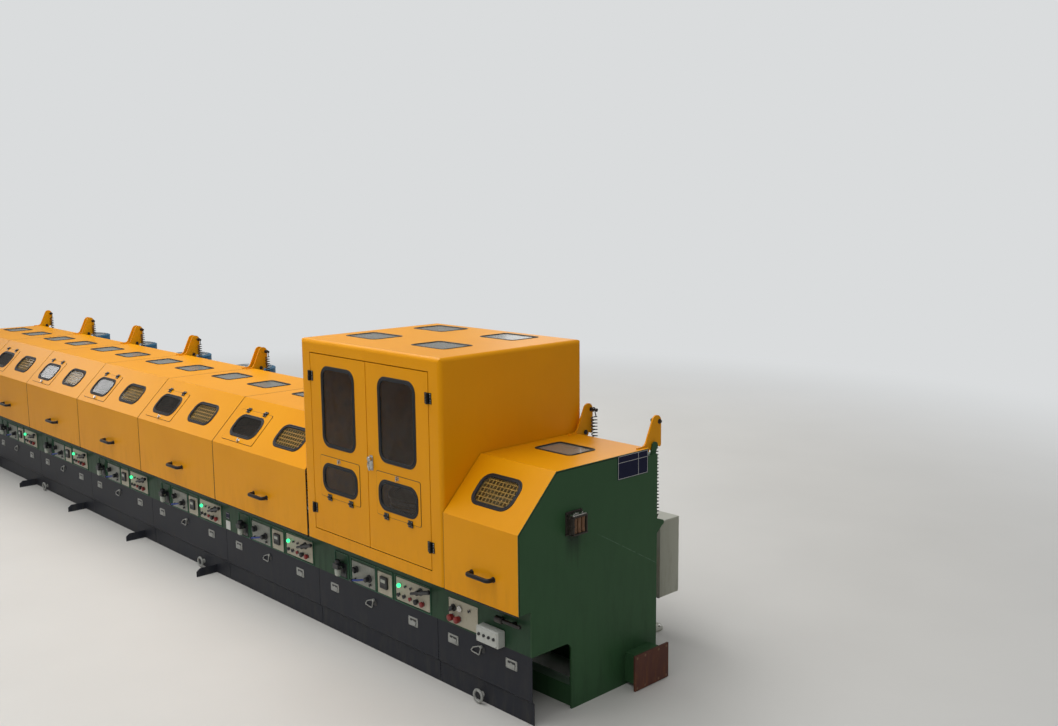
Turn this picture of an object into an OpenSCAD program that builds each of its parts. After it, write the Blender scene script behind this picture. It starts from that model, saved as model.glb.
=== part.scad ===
// Straight-line wire drawing machine: a row of drawing blocks under bent
// sheet hoods, a tall cabinet over the last block and a welded end plate.
// Millimetres. +X towards the wire exit, -Y the operator side, +Z up, floor at 0.

/* [Overall] */
// Distance from one drawing block to the next
bay_pitch = 1250; // [1150:10:1400]
// Width of the tall cabinet
cabinet_w = 1400; // [1300:10:1600]
// Width of the short hood at the exit end
end_hood_w = 610; // [560:10:700]
// Depth of the frame from the hood fronts to the rear beam
frame_depth = 1125; // [1080:5:1250]
// Height of the roof of the low hoods
roof_z = 1375; // [1300:5:1450]
// Height of the roof of the cabinet
cabinet_z = 1950; // [1850:10:2150]

/* [Hoods] */
// Height of the lower edge of the hoods and the cabinet
hood_z = 645; // [600:5:680]
// Height of the upright front of a hood
front_h = 440; // [380:5:480]
// Horizontal run of the sloping face
slope_run = 285; // [220:5:340]
// Thickness of the hood sheet
hood_t = 4; // [3:0.5:6]
// Width of the return lip along the lower edge
lip_w = 28; // [15:1:40]
// Set-back of the rear edge of a hood from the rear of the frame
hood_rear_set = 75; // [60:1:95]
// Gap between neighbouring hoods
seam = 10; // [10:0.5:14]
// Gap between a closed hood and the frame under it
hood_gap = 6; // [5:0.5:10]
// Width of a window in the sloping face
win_w = 330; // [240:5:360]
// Height of a window in the sloping face
win_h = 165; // [120:5:185]
// Width of a roof window
roof_win_w = 290; // [220:5:330]
// Depth of a roof window
roof_win_d = 230; // [160:5:260]
// Corner radius of the windows in sloping and upright faces
win_r = 60; // [20:1:70]
// Corner radius of the roof windows
roof_win_r = 28; // [15:1:40]
// Width of the rubber frame that covers the sheet
gasket_w = 13; // [8:1:16]
// Width of the rubber frame that covers the pane
gasket_in = 11; // [5:1:16]
// Thickness of the rubber frame
gasket_t = 3; // [2:0.5:5]
// Width of the inspection flap
flap_w = 420; // [395:5:450]
// Height of the inspection flap
flap_h = 262; // [225:1:280]
// Thickness of the inspection flap
flap_t = 3; // [2:0.5:5]
// Length of a pull handle
handle_l = 230; // [180:5:280]
// Diameter of the handle bar
handle_d = 20; // [14:1:26]
// Stand-off of the handle bar
handle_off = 45; // [35:1:60]
// Height of the handles
handle_z = 800; // [760:5:880]

/* [Levers and springs] */
// Set-back of the hinge pin from the rear of the frame
pivot_set = 5; // [-15:1:30]
// Height of the hinge pin
pivot_z = 1375; // [1365:1:1420]
// Diameter of the hinge pin
pin_d = 24; // [16:1:30]
// Radial clearance at the hinge pin
pin_clear = 0.1; // [0.05:0.05:0.5]
// Thickness of a lever plate
lever_t = 10; // [8:1:14]
// Radius of the lever round the hinge pin
lever_r = 34; // [28:1:38]
// Radius of the rounded lever top
lever_top_r = 40; // [34:1:44]
// Distance of the rear edge of a lever behind the hinge pin
lever_back = 68; // [64:1:70]
// Angle of the front edge of a lever over the roof
lever_a = 65; // [60:1:72]
// Rise of the spring stud over the hinge pin
stud_rise = 137; // [110:1:160]
// Set-back of the spring stud behind the hinge pin
stud_back = 52; // [48:1:54]
// Distance of a lever plate from the edge of its hood
lever_in = 26; // [24:1:40]
// Outer radius of a spring
spring_r = 21; // [16:1:26]
// Diameter of the stud that a spring hooks on
stud_d = 16; // [12:1:20]
// Height of the lower end of the springs
anchor_z = 900; // [850:10:1000]
// Set-back of the lower end of the springs behind the frame
anchor_back = 65; // [55:1:90]

/* [Frame] */
// Thickness of the end plates
plate_t = 12; // [8:1:20]
// Set-back of the control strip behind the hood fronts
strip_set = 95; // [70:1:130]
// Thickness of the control strip
strip_t = 6; // [4:1:10]
// Distance that the control plates stand out of the strip
plate_proud = 3; // [2:0.5:4]
// Diameter of an air regulator
reg_d = 52; // [44:1:56]
// Distance of the regulator axis in front of the strip
reg_out = 34; // [31:1:38]
// Depth of the switch box at the exit end
pendant_d = 58; // [50:1:66]
// Height of the upper edge of the skirt
skirt_z = 390; // [340:5:440]
// Height of the fold in the skirt
fold_z = 140; // [100:5:180]
// Thickness of the skirt sheet
skirt_t = 3; // [2:0.5:5]
// Set-back of the skirt under its fold
kick_set = 14; // [8:1:30]
// Width of the skirt panel at the exit end
skirt_end_w = 790; // [700:10:900]
// Gap between skirt panels
skirt_gap = 4; // [2:0.5:8]
// Thickness of the deck under the blocks
deck_t = 20; // [12:1:30]
// Height of the rear beam
beam_h = 105; // [80:5:130]
// Depth of the rear beam
beam_d = 60; // [50:5:80]
// Height of the top of the rear beam
beam_z = 1330; // [1290:5:1335]
// Width of a rear post
post_w = 80; // [60:5:100]
// Set-back of the wall behind the blocks from the rear of the frame
wall_set = 175; // [160:5:200]
// Thickness of the wall
wall_t = 12; // [8:1:16]
// Width of the return flange on the rear edge of an end plate
flange_w = 100; // [70:5:130]
// Depth of the pipe cut-out in the end plates
cut_d = 302; // [220:2:340]
// Corner radius of the pipe cut-out
cut_r = 45; // [20:1:60]
// Width of a base rail
rail_w = 80; // [60:5:100]
// Height of a base rail
rail_h = 120; // [80:5:140]
// Width of the wire guide on the end plate
guide_w = 112; // [100:2:130]
// Height of the wire guide
guide_h = 108; // [90:2:125]
// Distance that the wire guide stands out of the end plate
guide_d = 60; // [48:2:72]

/* [Drive] */
// Diameter of a drawing block
block_d = 560; // [500:10:600]
// Height of a drawing block
block_h = 340; // [280:10:380]
// Distance of the block axis from the hood fronts
block_y = 500; // [460:5:540]
// Diameter of the motor cowl
cowl_d = 460; // [400:5:500]
// Height of the motor cowl
cowl_h = 290; // [240:5:330]
// Height of the motor body under its cowl
motor_h = 350; // [300:5:400]
// Diameter of the motor body over its fins
motor_d = 420; // [360:5:450]
// Distance of the motor axis behind the frame
motor_back = 262; // [245:1:300]
// Height of the motor shelf
shelf_z = 640; // [620:5:660]
// Thickness of the motor shelf
shelf_t = 20; // [12:1:25]
// Distance of the square gear column from the block axis along the machine
col_x = 268; // [262:2:300]
// Width of the square gear column
col_w = 140; // [110:5:150]
// Height of the square gear column over the shelf
col_h = 490; // [400:5:520]
// Distance of the round column from the block axis along the machine
post_x = 478; // [465:1:490]
// Radius of the round column
post_r = 50; // [40:1:50]
// Height of the round column over the shelf
round_h = 400; // [330:5:440]
// Radius of an air cylinder
air_r = 23; // [16:1:24]
// Length of an air cylinder
air_l = 220; // [160:5:240]
// Height of the underside of the electrical cabinet
box_z = 275; // [200:5:400]
// Width of the electrical cabinet
box_w = 340; // [260:10:360]
// Height of the electrical cabinet
box_h = 500; // [400:10:560]
// Depth of the electrical cabinet
box_d = 200; // [150:5:240]
// Diameter of the post under the electrical cabinet
box_post_d = 60; // [48:2:76]
// Diameter of the foot of that post
box_foot_d = 180; // [140:5:200]
// Distance of the arm under the top of the electrical cabinet
box_arm_drop = 75; // [60:5:110]
// Width and height of the arm
box_arm_w = 40; // [30:2:50]
// Height of a belt guard
guard_h = 150; // [110:5:170]
// Radius of a belt guard
guard_r = 230; // [200:5:232]
// Radius of a belt pulley
pulley_r = 105; // [85:5:125]
// Height of a pulley
pulley_h = 110; // [90:5:112]
// Distance of the gear pulley in front of the wall
gear_set = 170; // [140:5:200]
// Width of a belt
belt_w = 86; // [60:2:90]
// Thickness of a belt
belt_t = 14; // [10:1:18]
// Width of the bracket that carries a motor
bracket_w = 500; // [480:5:520]
// Thickness of the gussets under the bracket
gusset_t = 12; // [8:1:16]

/* [Cabinet] */
// Width of the fixed margin beside and over the doors
door_margin = 105; // [90:1:130]
// Radius of the folded edges of the cabinet
cab_r = 26; // [6:1:30]
// Distance of the door foot from the foot of the cabinet
door_foot = 80; // [60:1:110]
// Distance of the door head from the cabinet roof
door_head = 88; // [70:1:110]
// Depth of a folded door
door_t = 22; // [16:1:30]
// Gap round the doors
door_gap = 6; // [5.5:0.5:9]
// Width of a tall door window
tall_w = 335; // [280:5:360]
// Height of a tall door window
tall_h = 490; // [400:5:540]
// Distance of the tall windows under the door head
tall_drop = 80; // [50:1:100]
// Height of the middle of the flap windows over the door foot
low_rise = 359; // [330:1:370]
// Distance of the front roof windows from the cabinet front
cab_win_front = 367; // [300:1:400]
// Distance of the rear roof windows from the rear of the frame
cab_win_rear = 210; // [190:5:260]
// Distance of the roof windows from their common middle
cab_win_x = 340; // [280:5:380]
// Shift of that middle from the middle of the cabinet
cab_win_shift = 68; // [0:1:80]
// Height of a hinge leaf
hinge_h = 63; // [50:1:80]
// Radius of a hinge barrel
barrel_r = 8; // [6:0.5:10]

/* [Hidden] */
$fn = 40;
fuse = 0.5;
low_bays = 6;
total_l = end_hood_w + cabinet_w + low_bays * bay_pitch;
slope_z = hood_z + front_h;
slope_h = roof_z - slope_z;
slope_a = atan2(slope_h, slope_run);
slope_l = sqrt(slope_h * slope_h + slope_run * slope_run);
hood_rear = frame_depth - hood_rear_set;
cut_z = skirt_z;
cab_right = -end_hood_w;
cab_left = cab_right - cabinet_w;
inset = hood_t + hood_gap;
pivot_y = frame_depth - pivot_set;
heel_r = 12;
fillet_r = 40;
stud_y = pivot_y + stud_back;
stud_z = pivot_z + stud_rise;
anchor_y = frame_depth + anchor_back;
spring_in = lever_in + lever_t + 5 + spring_r;
stud_len = 2 * (spring_in - lever_in - lever_t);
wall_y = frame_depth - wall_set;
motor_y = frame_depth + motor_back;
deck_z = hood_z - hood_gap;
lug_t = 10;
lug_in = lever_in - 3 - lug_t;
win_y = roof_win_y();
flap_x = -325;
win_left = -328;
win_right = 250;
door_w = (cabinet_w - 2 * door_margin) / 2;
door_l = cab_left + door_margin;
door_r = cab_right - door_margin;
door_mid = (cab_left + cab_right) / 2;
door_z0 = hood_z + door_foot;
door_z1 = cabinet_z - door_head;
tall_z = door_z1 - tall_drop - tall_h / 2;
low_win_z = door_z0 + low_rise;
box_x = cab_right - 10;
hinge_y = -barrel_r - 2;
stub_l = 104;
flange_t = 12;
front_reach = handle_off + handle_d / 2;
rear_reach = frame_depth + 375 + box_d;

function bay_right(k) = cab_left - (k - 1) * bay_pitch;
function bay_left(k) = bay_right(k) - bay_pitch;
function hood_x0(j) = j < -total_l + 1 ? j : j + seam / 2;
function hood_x1(j) = j > -1 ? j : j - seam / 2;
function bay_mid(k) = bay_right(k) - bay_pitch / 2;
function roof_win_y() = (slope_run + hood_rear) / 2 + 32;
blocks_x = [(cab_left + cab_right) / 2, for (k = [1:low_bays]) bay_mid(k)];
// Spring ends: [x of the joint between two bays, spring to its left, spring to its right]
joints_x = [[0, 1, 0], [cab_right, 0, 1], [cab_left, 1, 0],
    for (k = [1:low_bays]) [bay_left(k), k < low_bays ? 1 : 0, 1]];
function at_end(x) = x > -1 || x < -total_l + 1;

// Puts the middle of the whole machine's outline over the origin
module place() {
    translate([(total_l - stub_l - flange_t) / 2, (front_reach - rear_reach) / 2, 0]) children();
}

// Extrudes a Y-Z section along +X from x for a length of l
module along_x(x, l) { translate([x, 0, 0]) rotate([90, 0, 90]) linear_extrude(l) children(); }

// Box from one corner to the other
module block(a, b) { translate(a) cube(b - a); }

module rrect(w, h, r) {
    square([w - 2 * r, h], center = true);
    square([w, h - 2 * r], center = true);
    for (i = [-1, 1], j = [-1, 1]) translate([i * (w / 2 - r), j * (h / 2 - r)]) circle(r);
}

// Local frame on the sloping face: X along the machine, Y up the slope, Z outwards
module on_slope(x, s) {
    translate([x, 0, slope_z]) rotate([slope_a, 0, 0]) translate([0, s, 0]) children();
}
module on_roof(x, y, z) { translate([x, y, z]) children(); }
// Local frame on an upright front: X along the machine, Y up, Z outwards
module on_front(x, z) { translate([x, 0, z]) rotate([90, 0, 0]) children(); }

module window_cut(w, h, r = win_r) { translate([0, 0, -30]) linear_extrude(60) rrect(w, h, r); }

// Rubber frame with its pane, seated in a cut-out of the sheet
module window(w, h, t = hood_t, r = win_r) {
    difference() {
        union() {
            linear_extrude(gasket_t) rrect(w + 2 * gasket_w, h + 2 * gasket_w, r + gasket_w);
            translate([0, 0, -t - 2]) linear_extrude(t + 2 + fuse) rrect(w - 1, h - 1, r - 0.5);
        }
        translate([0, 0, -t + 2]) linear_extrude(t + gasket_t)
            rrect(w - 2 * gasket_in, h - 2 * gasket_in, r - gasket_in);
    }
}

module pull_handle() {
    translate([-handle_l / 2 + handle_d / 2, 0, handle_off]) rotate([0, 90, 0])
        cylinder(d = handle_d, h = handle_l - handle_d);
    for (i = [-1, 1]) translate([i * (handle_l - handle_d) / 2, 0, 0]) {
        cylinder(d = handle_d, h = handle_off);
        translate([0, 0, handle_off]) sphere(d = handle_d);
        cylinder(d = handle_d + 10, h = 5);
    }
}

// Section of the bent sheet: lip, upright front, slope, roof and rear lip
module hood_section() {
    t = hood_t;
    zi = slope_z - t * (1 - sin(slope_a)) / cos(slope_a);
    yi = (t + (slope_h - t) * cos(slope_a)) / sin(slope_a);
    polygon([[0, hood_z], [0, slope_z], [slope_run, roof_z], [hood_rear, roof_z],
        [hood_rear, roof_z - 22], [hood_rear - t, roof_z - 22], [hood_rear - t, roof_z - t],
        [yi, roof_z - t], [t, zi], [t, hood_z + t], [lip_w, hood_z + t], [lip_w, hood_z]]);
}

// Space under the hood sheet, with the given clearance to it
module under_hood(g, z0, y1) {
    t = hood_t + g;
    zi = slope_z - t * (1 - sin(slope_a)) / cos(slope_a);
    yi = (t + (slope_h - t) * cos(slope_a)) / sin(slope_a);
    polygon([[t, z0], [t, zi], [yi, roof_z - t], [y1, roof_z - t], [y1, z0]]);
}

// Lever plate welded to the rear edge of a hood; it turns on the hinge pin. Its front edge
// runs out on the roof in a fillet, and its rear edge is upright down to a rounded heel.
module lever_section() {
    p = [pivot_y, pivot_z];
    top = [pivot_y + lever_back - lever_top_r, stud_z];
    heel = [pivot_y + lever_back - heel_r, pivot_z - 2];
    edge = top + lever_top_r * [-sin(lever_a), cos(lever_a)];
    foot_z = roof_z + 8;
    root_y = edge[0] - (edge[1] - foot_z) / tan(lever_a);
    fillet = [root_y - fillet_r * tan(lever_a / 2), foot_z + fillet_r];
    difference() {
        union() {
            translate(p) circle(lever_r);
            translate(top) circle(lever_top_r);
            translate(heel) circle(heel_r);
            polygon([[hood_rear - 75, roof_z - hood_t], [hood_rear - 75, foot_z],
                for (a = [0:lever_a / 6:lever_a]) fillet + fillet_r * [sin(a), -cos(a)],
                edge, top, top + [lever_top_r, 0], heel + [heel_r, 0], heel, heel - [0, heel_r],
                p + lever_r * [cos(8), -sin(8)], p, [pivot_y - lever_r * 0.8, pivot_z - lever_r * 0.6],
                [hood_rear - hood_t, roof_z - 20], [hood_rear - hood_t, roof_z - hood_t]]);
        }
        translate(p) circle(pin_d / 2 + pin_clear);
    }
}

// One hood between the joints j0 and j1, with its levers. A hood that covers an end plate
// runs to the plate's outer face and has its lip cut back beside the plate.
module hood_sheet(j0, j1, slope_wins, roof_wins, flap) {
    x0 = hood_x0(j0);
    x1 = hood_x1(j1);
    difference() {
        union() {
            along_x(x0, x1 - x0) hood_section();
            for (f = flap) on_slope(f, slope_l / 2 - 27) translate([0, 0, -fuse])
                linear_extrude(flap_t + fuse) rrect(flap_w, flap_h, 14);
        }
        for (w = slope_wins) on_slope(w[0], w[1]) window_cut(w[2], w[3]);
        for (w = roof_wins) on_roof(w[0], w[1], roof_z) window_cut(w[2], w[3], roof_win_r);
        for (x = [-total_l - 1, -plate_t - hood_gap])
            block([x, hood_t, hood_z - 1], [x + plate_t + hood_gap + 1, lip_w + 1, hood_z + hood_t + 1]);
    }
    for (x = [j0 + lever_in, j1 - lever_in - lever_t]) along_x(x, lever_t) lever_section();
}

module hood_trim(j0, j1, slope_wins, roof_wins, flap, handle_x) {
    for (w = slope_wins) on_slope(w[0], w[1]) translate([0, 0, w[4]]) window(w[2], w[3], hood_t + w[4]);
    for (w = roof_wins) on_roof(w[0], w[1], roof_z) window(w[2], w[3], hood_t, roof_win_r);
    on_front(handle_x, handle_z) pull_handle();
    for (f = flap, i = [-1, 1]) on_slope(f + i * 115, slope_l / 2 - 27 + flap_h / 2 - 6)
        translate([0, 0, flap_t]) cylinder(d = 26, h = 9);
    for (x = [j0 + lever_in + lever_t, j1 - lever_in - lever_t - stud_len])
        translate([x, stud_y, stud_z]) rotate([0, 90, 0]) cylinder(d = stud_d, h = stud_len);
    for (x = [j0 + lever_in - 8, j1 - lever_in])
        translate([x, stud_y, stud_z]) rotate([0, 90, 0]) cylinder(d = 26, h = 8);
}

function low_slope_wins(k) = [[bay_mid(k) + win_left, slope_l / 2 - 26, win_w, win_h, flap_t],
    [bay_mid(k) + win_right, slope_l / 2 - 15, win_w, win_h, 0]];
function low_roof_wins(k) = [for (x = [win_left, win_right + 8]) [bay_mid(k) + x, win_y, roof_win_w,
    roof_win_d]];

module low_hood(k) {
    color("#E8A11C") place() hood_sheet(bay_left(k), bay_right(k),
        low_slope_wins(k), low_roof_wins(k), [bay_mid(k) + flap_x]);
}
module low_trim(k) {
    color("#26262A") place() hood_trim(bay_left(k), bay_right(k),
        low_slope_wins(k), low_roof_wins(k), [bay_mid(k) + flap_x], bay_mid(k) + 32);
}
end_slope_wins = [[-end_hood_w / 2 - 12, slope_l / 2, win_w - 25, win_h + 18, 0]];
end_roof_wins = [[-end_hood_w / 2 - 35, win_y, roof_win_w, roof_win_d - 15]];
module end_hood() {
    color("#E8A11C") place() hood_sheet(cab_right, 0, end_slope_wins, end_roof_wins, []);
}
module end_hood_trim() {
    color("#26262A") place() hood_trim(cab_right, 0, end_slope_wins, end_roof_wins, [],
        -end_hood_w / 2 + 25);
}

// Extension spring from the lower anchor to the stud on its lever
module spring(x) {
    dy = stud_y - anchor_y;
    dz = stud_z - anchor_z;
    l = sqrt(dy * dy + dz * dz);
    eye_r = stud_d / 2 + 0.6;
    coil_0 = 38;
    coil_1 = l - 38;
    n = 12;
    p = (coil_1 - coil_0) / n;
    translate([x, anchor_y, anchor_z]) rotate([atan2(-dy, dz), 0, 0]) {
        rotate_extrude($fn = 20) polygon([[0, coil_0], for (i = [0:n - 1]) each
            [[spring_r - 4, coil_0 + i * p], [spring_r, coil_0 + (i + 0.5) * p]],
            [spring_r - 4, coil_1], [0, coil_1]]);
        for (z = [0, l]) difference() {
            union() {
                translate([-3, 0, z]) rotate([0, 90, 0]) cylinder(r = eye_r + 6, h = 6);
                translate([-3, -5, z == 0 ? eye_r : l - 39]) cube([6, 10, 39 - eye_r]);
            }
            translate([-10, 0, z]) rotate([0, 90, 0]) cylinder(r = eye_r, h = 20);
        }
    }
}
module spring_pair(x0, x1) { color("#3A3A3C") place() { spring(x0 + spring_in); spring(x1 - spring_in); } }

// Front edge of the frame plates: set back under the hoods, open at the foot for the pipe
module plate_section(y_top) {
    difference() {
        union() {
            under_hood(hood_gap, hood_z, y_top);
            polygon([[strip_set, 0], [strip_set, hood_z + fuse], [frame_depth, hood_z + fuse],
                [frame_depth, 0]]);
            translate([y_top - fuse, hood_z]) square([frame_depth - y_top + fuse, beam_z - hood_z]);
        }
        pipe_cut();
    }
}
module pipe_cut() {
    translate([strip_set - 1, -1]) square([cut_d + 1 - cut_r, cut_z + 1]);
    translate([strip_set - 1, -1]) square([cut_d + 1, cut_z + 1 - cut_r]);
    translate([strip_set + cut_d - cut_r, cut_z - cut_r]) circle(cut_r);
}

module end_plate(x) {
    place() along_x(x, plate_t) plate_section(hood_rear - 14);
}
module end_plate_near() {
    color("#2F5A3F") {
        end_plate(-plate_t);
        place() block([-plate_t - flange_w, frame_depth - plate_t, 0],
            [-plate_t + fuse, frame_depth, beam_z - beam_h]);
    }
}
module end_plate_far() {
    color("#2F5A3F") {
        end_plate(-total_l);
        place() block([-total_l + plate_t - fuse, frame_depth - plate_t, 0],
            [-total_l + plate_t + flange_w, frame_depth, beam_z - beam_h]);
    }
}

// Two rails along the floor
rails_y = [strip_set + cut_d + 20, wall_y - rail_w];
module base_rails() {
    color("#2C5039") place() for (y = rails_y)
        block([-total_l + plate_t, y, 0], [-plate_t, y + rail_w, rail_h]);
}

// Upright plate under every joint between two bays, seated on the rails and carrying the deck
module bulkheads() {
    color("#2C5039") place() for (x = [cab_right, cab_left, for (k = [1:low_bays - 1]) bay_left(k)])
        along_x(x - 5, 10) difference() {
            translate([strip_set + strip_t, 0]) square([wall_y - strip_set - strip_t, deck_z - deck_t]);
            pipe_cut();
            translate([strip_set + cut_d - 1, -1]) square([wall_y - strip_set - cut_d + 2, rail_h + 1]);
            translate([rails_y[0] + rail_w, -1]) square([rails_y[1] - rails_y[0] - rail_w, rail_h + 60]);
        }
}

module deck() {
    color("#35604A") place() difference() {
        block([-total_l + plate_t, strip_set + strip_t, deck_z - deck_t], [-plate_t, wall_y, deck_z]);
        for (x = blocks_x) translate([x, block_y, deck_z - deck_t - 1])
            cylinder(r = block_d / 2 - 60, h = deck_t + 2);
    }
}

module rear_beam() {
    color("#2F5A3F") place() {
        block([-total_l + plate_t, frame_depth - beam_d, beam_z - beam_h], [-plate_t, frame_depth, beam_z]);
        for (j = joints_x) hinge_lug(j);
    }
}
// Posts under the beam; the arms at the two ends are fixed to the end plates
module rear_posts() {
    color("#2F5A3F") place() for (j = joints_x) {
        if (!at_end(j[0])) block([j[0] - post_w / 2, frame_depth - beam_d, 0],
            [j[0] + post_w / 2, frame_depth, beam_z - beam_h]);
        spring_anchor(j);
    }
}
// Upright ears with the hinge pins on the beam
module hinge_lug(j) {
    for (s = [-1, 1]) if ((s < 0 && j[1] > 0) || (s > 0 && j[2] > 0)) {
        x_lug = j[0] + s * (lug_in + lug_t / 2);
        difference() {
            along_x(x_lug - lug_t / 2, lug_t) union() {
                polygon([[pivot_y - 38, beam_z - fuse], [pivot_y - 24, pivot_z], [pivot_y + 24, pivot_z],
                    [frame_depth, beam_z - fuse]]);
                translate([pivot_y, pivot_z]) circle(24);
            }
        }
        x_a = j[0] + s * lug_in;
        x_b = j[0] + s * (lever_in + lever_t + 4);
        translate([min(x_a, x_b), pivot_y, pivot_z]) rotate([0, 90, 0])
            cylinder(d = pin_d, h = abs(x_b - x_a));
    }
}
// Arm on the post with the stud that the lower spring eyes hook on
module spring_anchor(j) {
    reach = spring_in + 16;
    root = at_end(j[0]) ? frame_depth : frame_depth - fuse;
    x0 = j[1] > 0 ? j[0] - reach : (j[0] < -total_l + 1 ? j[0] + plate_t : j[0] - 8);
    x1 = j[2] > 0 ? j[0] + reach : (j[0] > -1 ? -plate_t - 1 : j[0] + 8);
    arm = j[0] > -1 ? -plate_t - 9 : (j[0] < -total_l + 1 ? j[0] + plate_t + 9 : j[0]);
    translate([x0, anchor_y, anchor_z]) rotate([0, 90, 0]) cylinder(d = stud_d, h = x1 - x0);
    along_x(arm - 8, 16) union() {
        polygon([[root, anchor_z - 70], [root, anchor_z + 40], [anchor_y, anchor_z + 16],
            [anchor_y, anchor_z - 16]]);
        translate([anchor_y, anchor_z]) circle(16);
    }
}

module rear_wall() {
    color("#2B5540") place()
        block([-total_l + plate_t, wall_y, deck_z - deck_t], [-plate_t, wall_y + wall_t, beam_z]);
}

module control_strip() {
    color("#35604A") place()
        block([-total_l + plate_t, strip_set, skirt_z], [-plate_t, strip_set + strip_t, deck_z]);
}

// Cream plates and a regulator on the strip, in the same order on every bay. The lists give
// [left edge, width, foot, height] in shares of a bay and of the strip.
bay_plates = [[0.288, 0.196, 0.04, 0.566], [0.5096, 0.1136, 0.088, 0.51], [0.66, 0.2576, 0.056, 0.578]];
regulator_x = 0.196;
module control_plates() {
    strip_h = deck_z - skirt_z;
    reg_z = skirt_z + 0.4 * strip_h;
    color("#CFC8B5") place() {
        for (x = [cab_left, for (k = [1:low_bays]) bay_left(k)]) {
            for (p = bay_plates) block([x + p[0] * bay_pitch, strip_set - plate_proud,
                skirt_z + p[2] * strip_h],
                [x + (p[0] + p[1]) * bay_pitch, strip_set, skirt_z + (p[2] + p[3]) * strip_h]);
            translate([x + regulator_x * bay_pitch, strip_set - reg_out, reg_z]) {
                cylinder(d = reg_d, h = reg_out);
                translate([0, 0, -1.2 * reg_d]) cylinder(d = 0.85 * reg_d, h = 1.1 * reg_d);
                translate([0, 0, -8]) cylinder(d = reg_d + 4, h = 10);
                translate([-20, 0, 6]) cube([40, reg_out, 20]);
            }
        }
        block([-684, strip_set - plate_proud, skirt_z + 14], [-432, strip_set, skirt_z + 160]);
        block([-389, strip_set - pendant_d, skirt_z - 2], [-208, strip_set, skirt_z + 96]);
    }
}

module skirt_panels() {
    color("#3A3B40") place() {
        n = ceil((total_l - skirt_end_w) / bay_pitch);
        for (i = [0:n]) {
            x1 = i == 0 ? 0 : -skirt_end_w - (i - 1) * bay_pitch - skirt_gap;
            x0 = max(-total_l, -skirt_end_w - i * bay_pitch);
            along_x(x0, x1 - x0) polygon([[strip_set, skirt_z], [strip_set + skirt_t, skirt_z],
                [strip_set + skirt_t, fold_z - 1], [strip_set + skirt_t + kick_set, fold_z - kick_set],
                [strip_set + skirt_t + kick_set, 0], [strip_set + kick_set, 0],
                [strip_set + kick_set, fold_z - kick_set - 2], [strip_set, fold_z]]);
        }
    }
}

// Channel feet that stand out under the skirt
module floor_feet() {
    color("#3A3B40") place() for (k = [1:low_bays - 1])
        along_x(bay_left(k) - 250, 8) polygon([[-front_reach, 0], [-front_reach, 40],
            [-front_reach + 30, 62],
            [strip_set + kick_set, 62], [strip_set + kick_set, 0]]);
}

// Drawing block: flanged drum with a slightly tapered face, on its bearing ring
module capstans() {
    color("#8A8D90") place() for (x = blocks_x) translate([x, block_y, deck_z])
        rotate_extrude($fn = 64) polygon([[0, 0], [block_d / 2 - 20, 0], [block_d / 2 - 20, 18],
            [block_d / 2 + 38, 22],
            [block_d / 2 + 38, 38], [block_d / 2 + 6, 62], [block_d / 2, 76],
                [block_d / 2 - 4, block_h - 22],
            [block_d / 2 + 8, block_h - 14], [block_d / 2 + 8, block_h], [block_d / 2 - 30, block_h],
            [block_d / 2 - 46, block_h - 16], [110, block_h - 16], [96, block_h + 22], [0, block_h + 22]]);
}

// Die box beside each block, with the wire entry and exit along X
module die_boxes() {
    color("#4A4D50") place() for (x = blocks_x) translate([x - bay_pitch / 2 + 45,
        block_y - block_d / 2 - 60, deck_z]) {
        difference() {
            union() {
                translate([0, 0, 0]) cube([170, 110, 60]);
                translate([15, 10, 60 - fuse]) cube([140, 90, 110]);
            }
            translate([-1, 55, 130]) rotate([0, 90, 0]) cylinder(d = 40, h = 200);
        }
    }
}

// Finned motor body with its foot flange and terminal box
module motors() {
    color("#2A5670") place() for (x = blocks_x) translate([x, motor_y, shelf_z]) {
        cylinder(d = motor_d + 20, h = 22);
        linear_extrude(motor_h + fuse) {
            circle(d = motor_d - 44);
            for (i = [0:23]) rotate(i * 15 + 7.5) translate([motor_d / 2 - 30, -4]) square([30, 8]);
        }
        translate([-70, motor_d / 2 - 40, motor_h - 190]) cube([140, 90, 120]);
    }
}
module motor_cowls() {
    color("#35637F") place() for (x = blocks_x) translate([x, motor_y, shelf_z + motor_h + fuse])
        rotate_extrude($fn = 64) polygon([[0, 0], [cowl_d / 2, 0], [cowl_d / 2, cowl_h - 14],
            [cowl_d / 2 - 10, cowl_h],
            [cowl_d / 2 - 24, cowl_h], [cowl_d / 2 - 30, cowl_h - 6], [0, cowl_h - 2]]);
}

// Shelf behind the wall, with the bracket that carries each motor
module motor_shelf() {
    color("#2F5A3F") place() {
        for (x = blocks_x) {
            block([x - 540, wall_y + wall_t, shelf_z - shelf_t], [x + 540, frame_depth - beam_d, shelf_z]);
            block([x - bracket_w / 2, wall_y + wall_t + fuse, shelf_z - shelf_t],
                [x + bracket_w / 2, motor_y + motor_d / 2 + 15, shelf_z]);
        }
    }
}
module shelf_gussets() {
    color("#2F5A3F") place() for (x = blocks_x, i = [-1, 1])
        along_x(x + i * (bracket_w / 2 - 8) - gusset_t / 2, gusset_t)
        polygon([[wall_y + wall_t, shelf_z - shelf_t], [wall_y + wall_t, shelf_z - 75],
            [wall_y + wall_t + 60, shelf_z - 95], [motor_y + 60, shelf_z - shelf_t - 26],
            [motor_y + 60, shelf_z - shelf_t]]);
}

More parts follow.
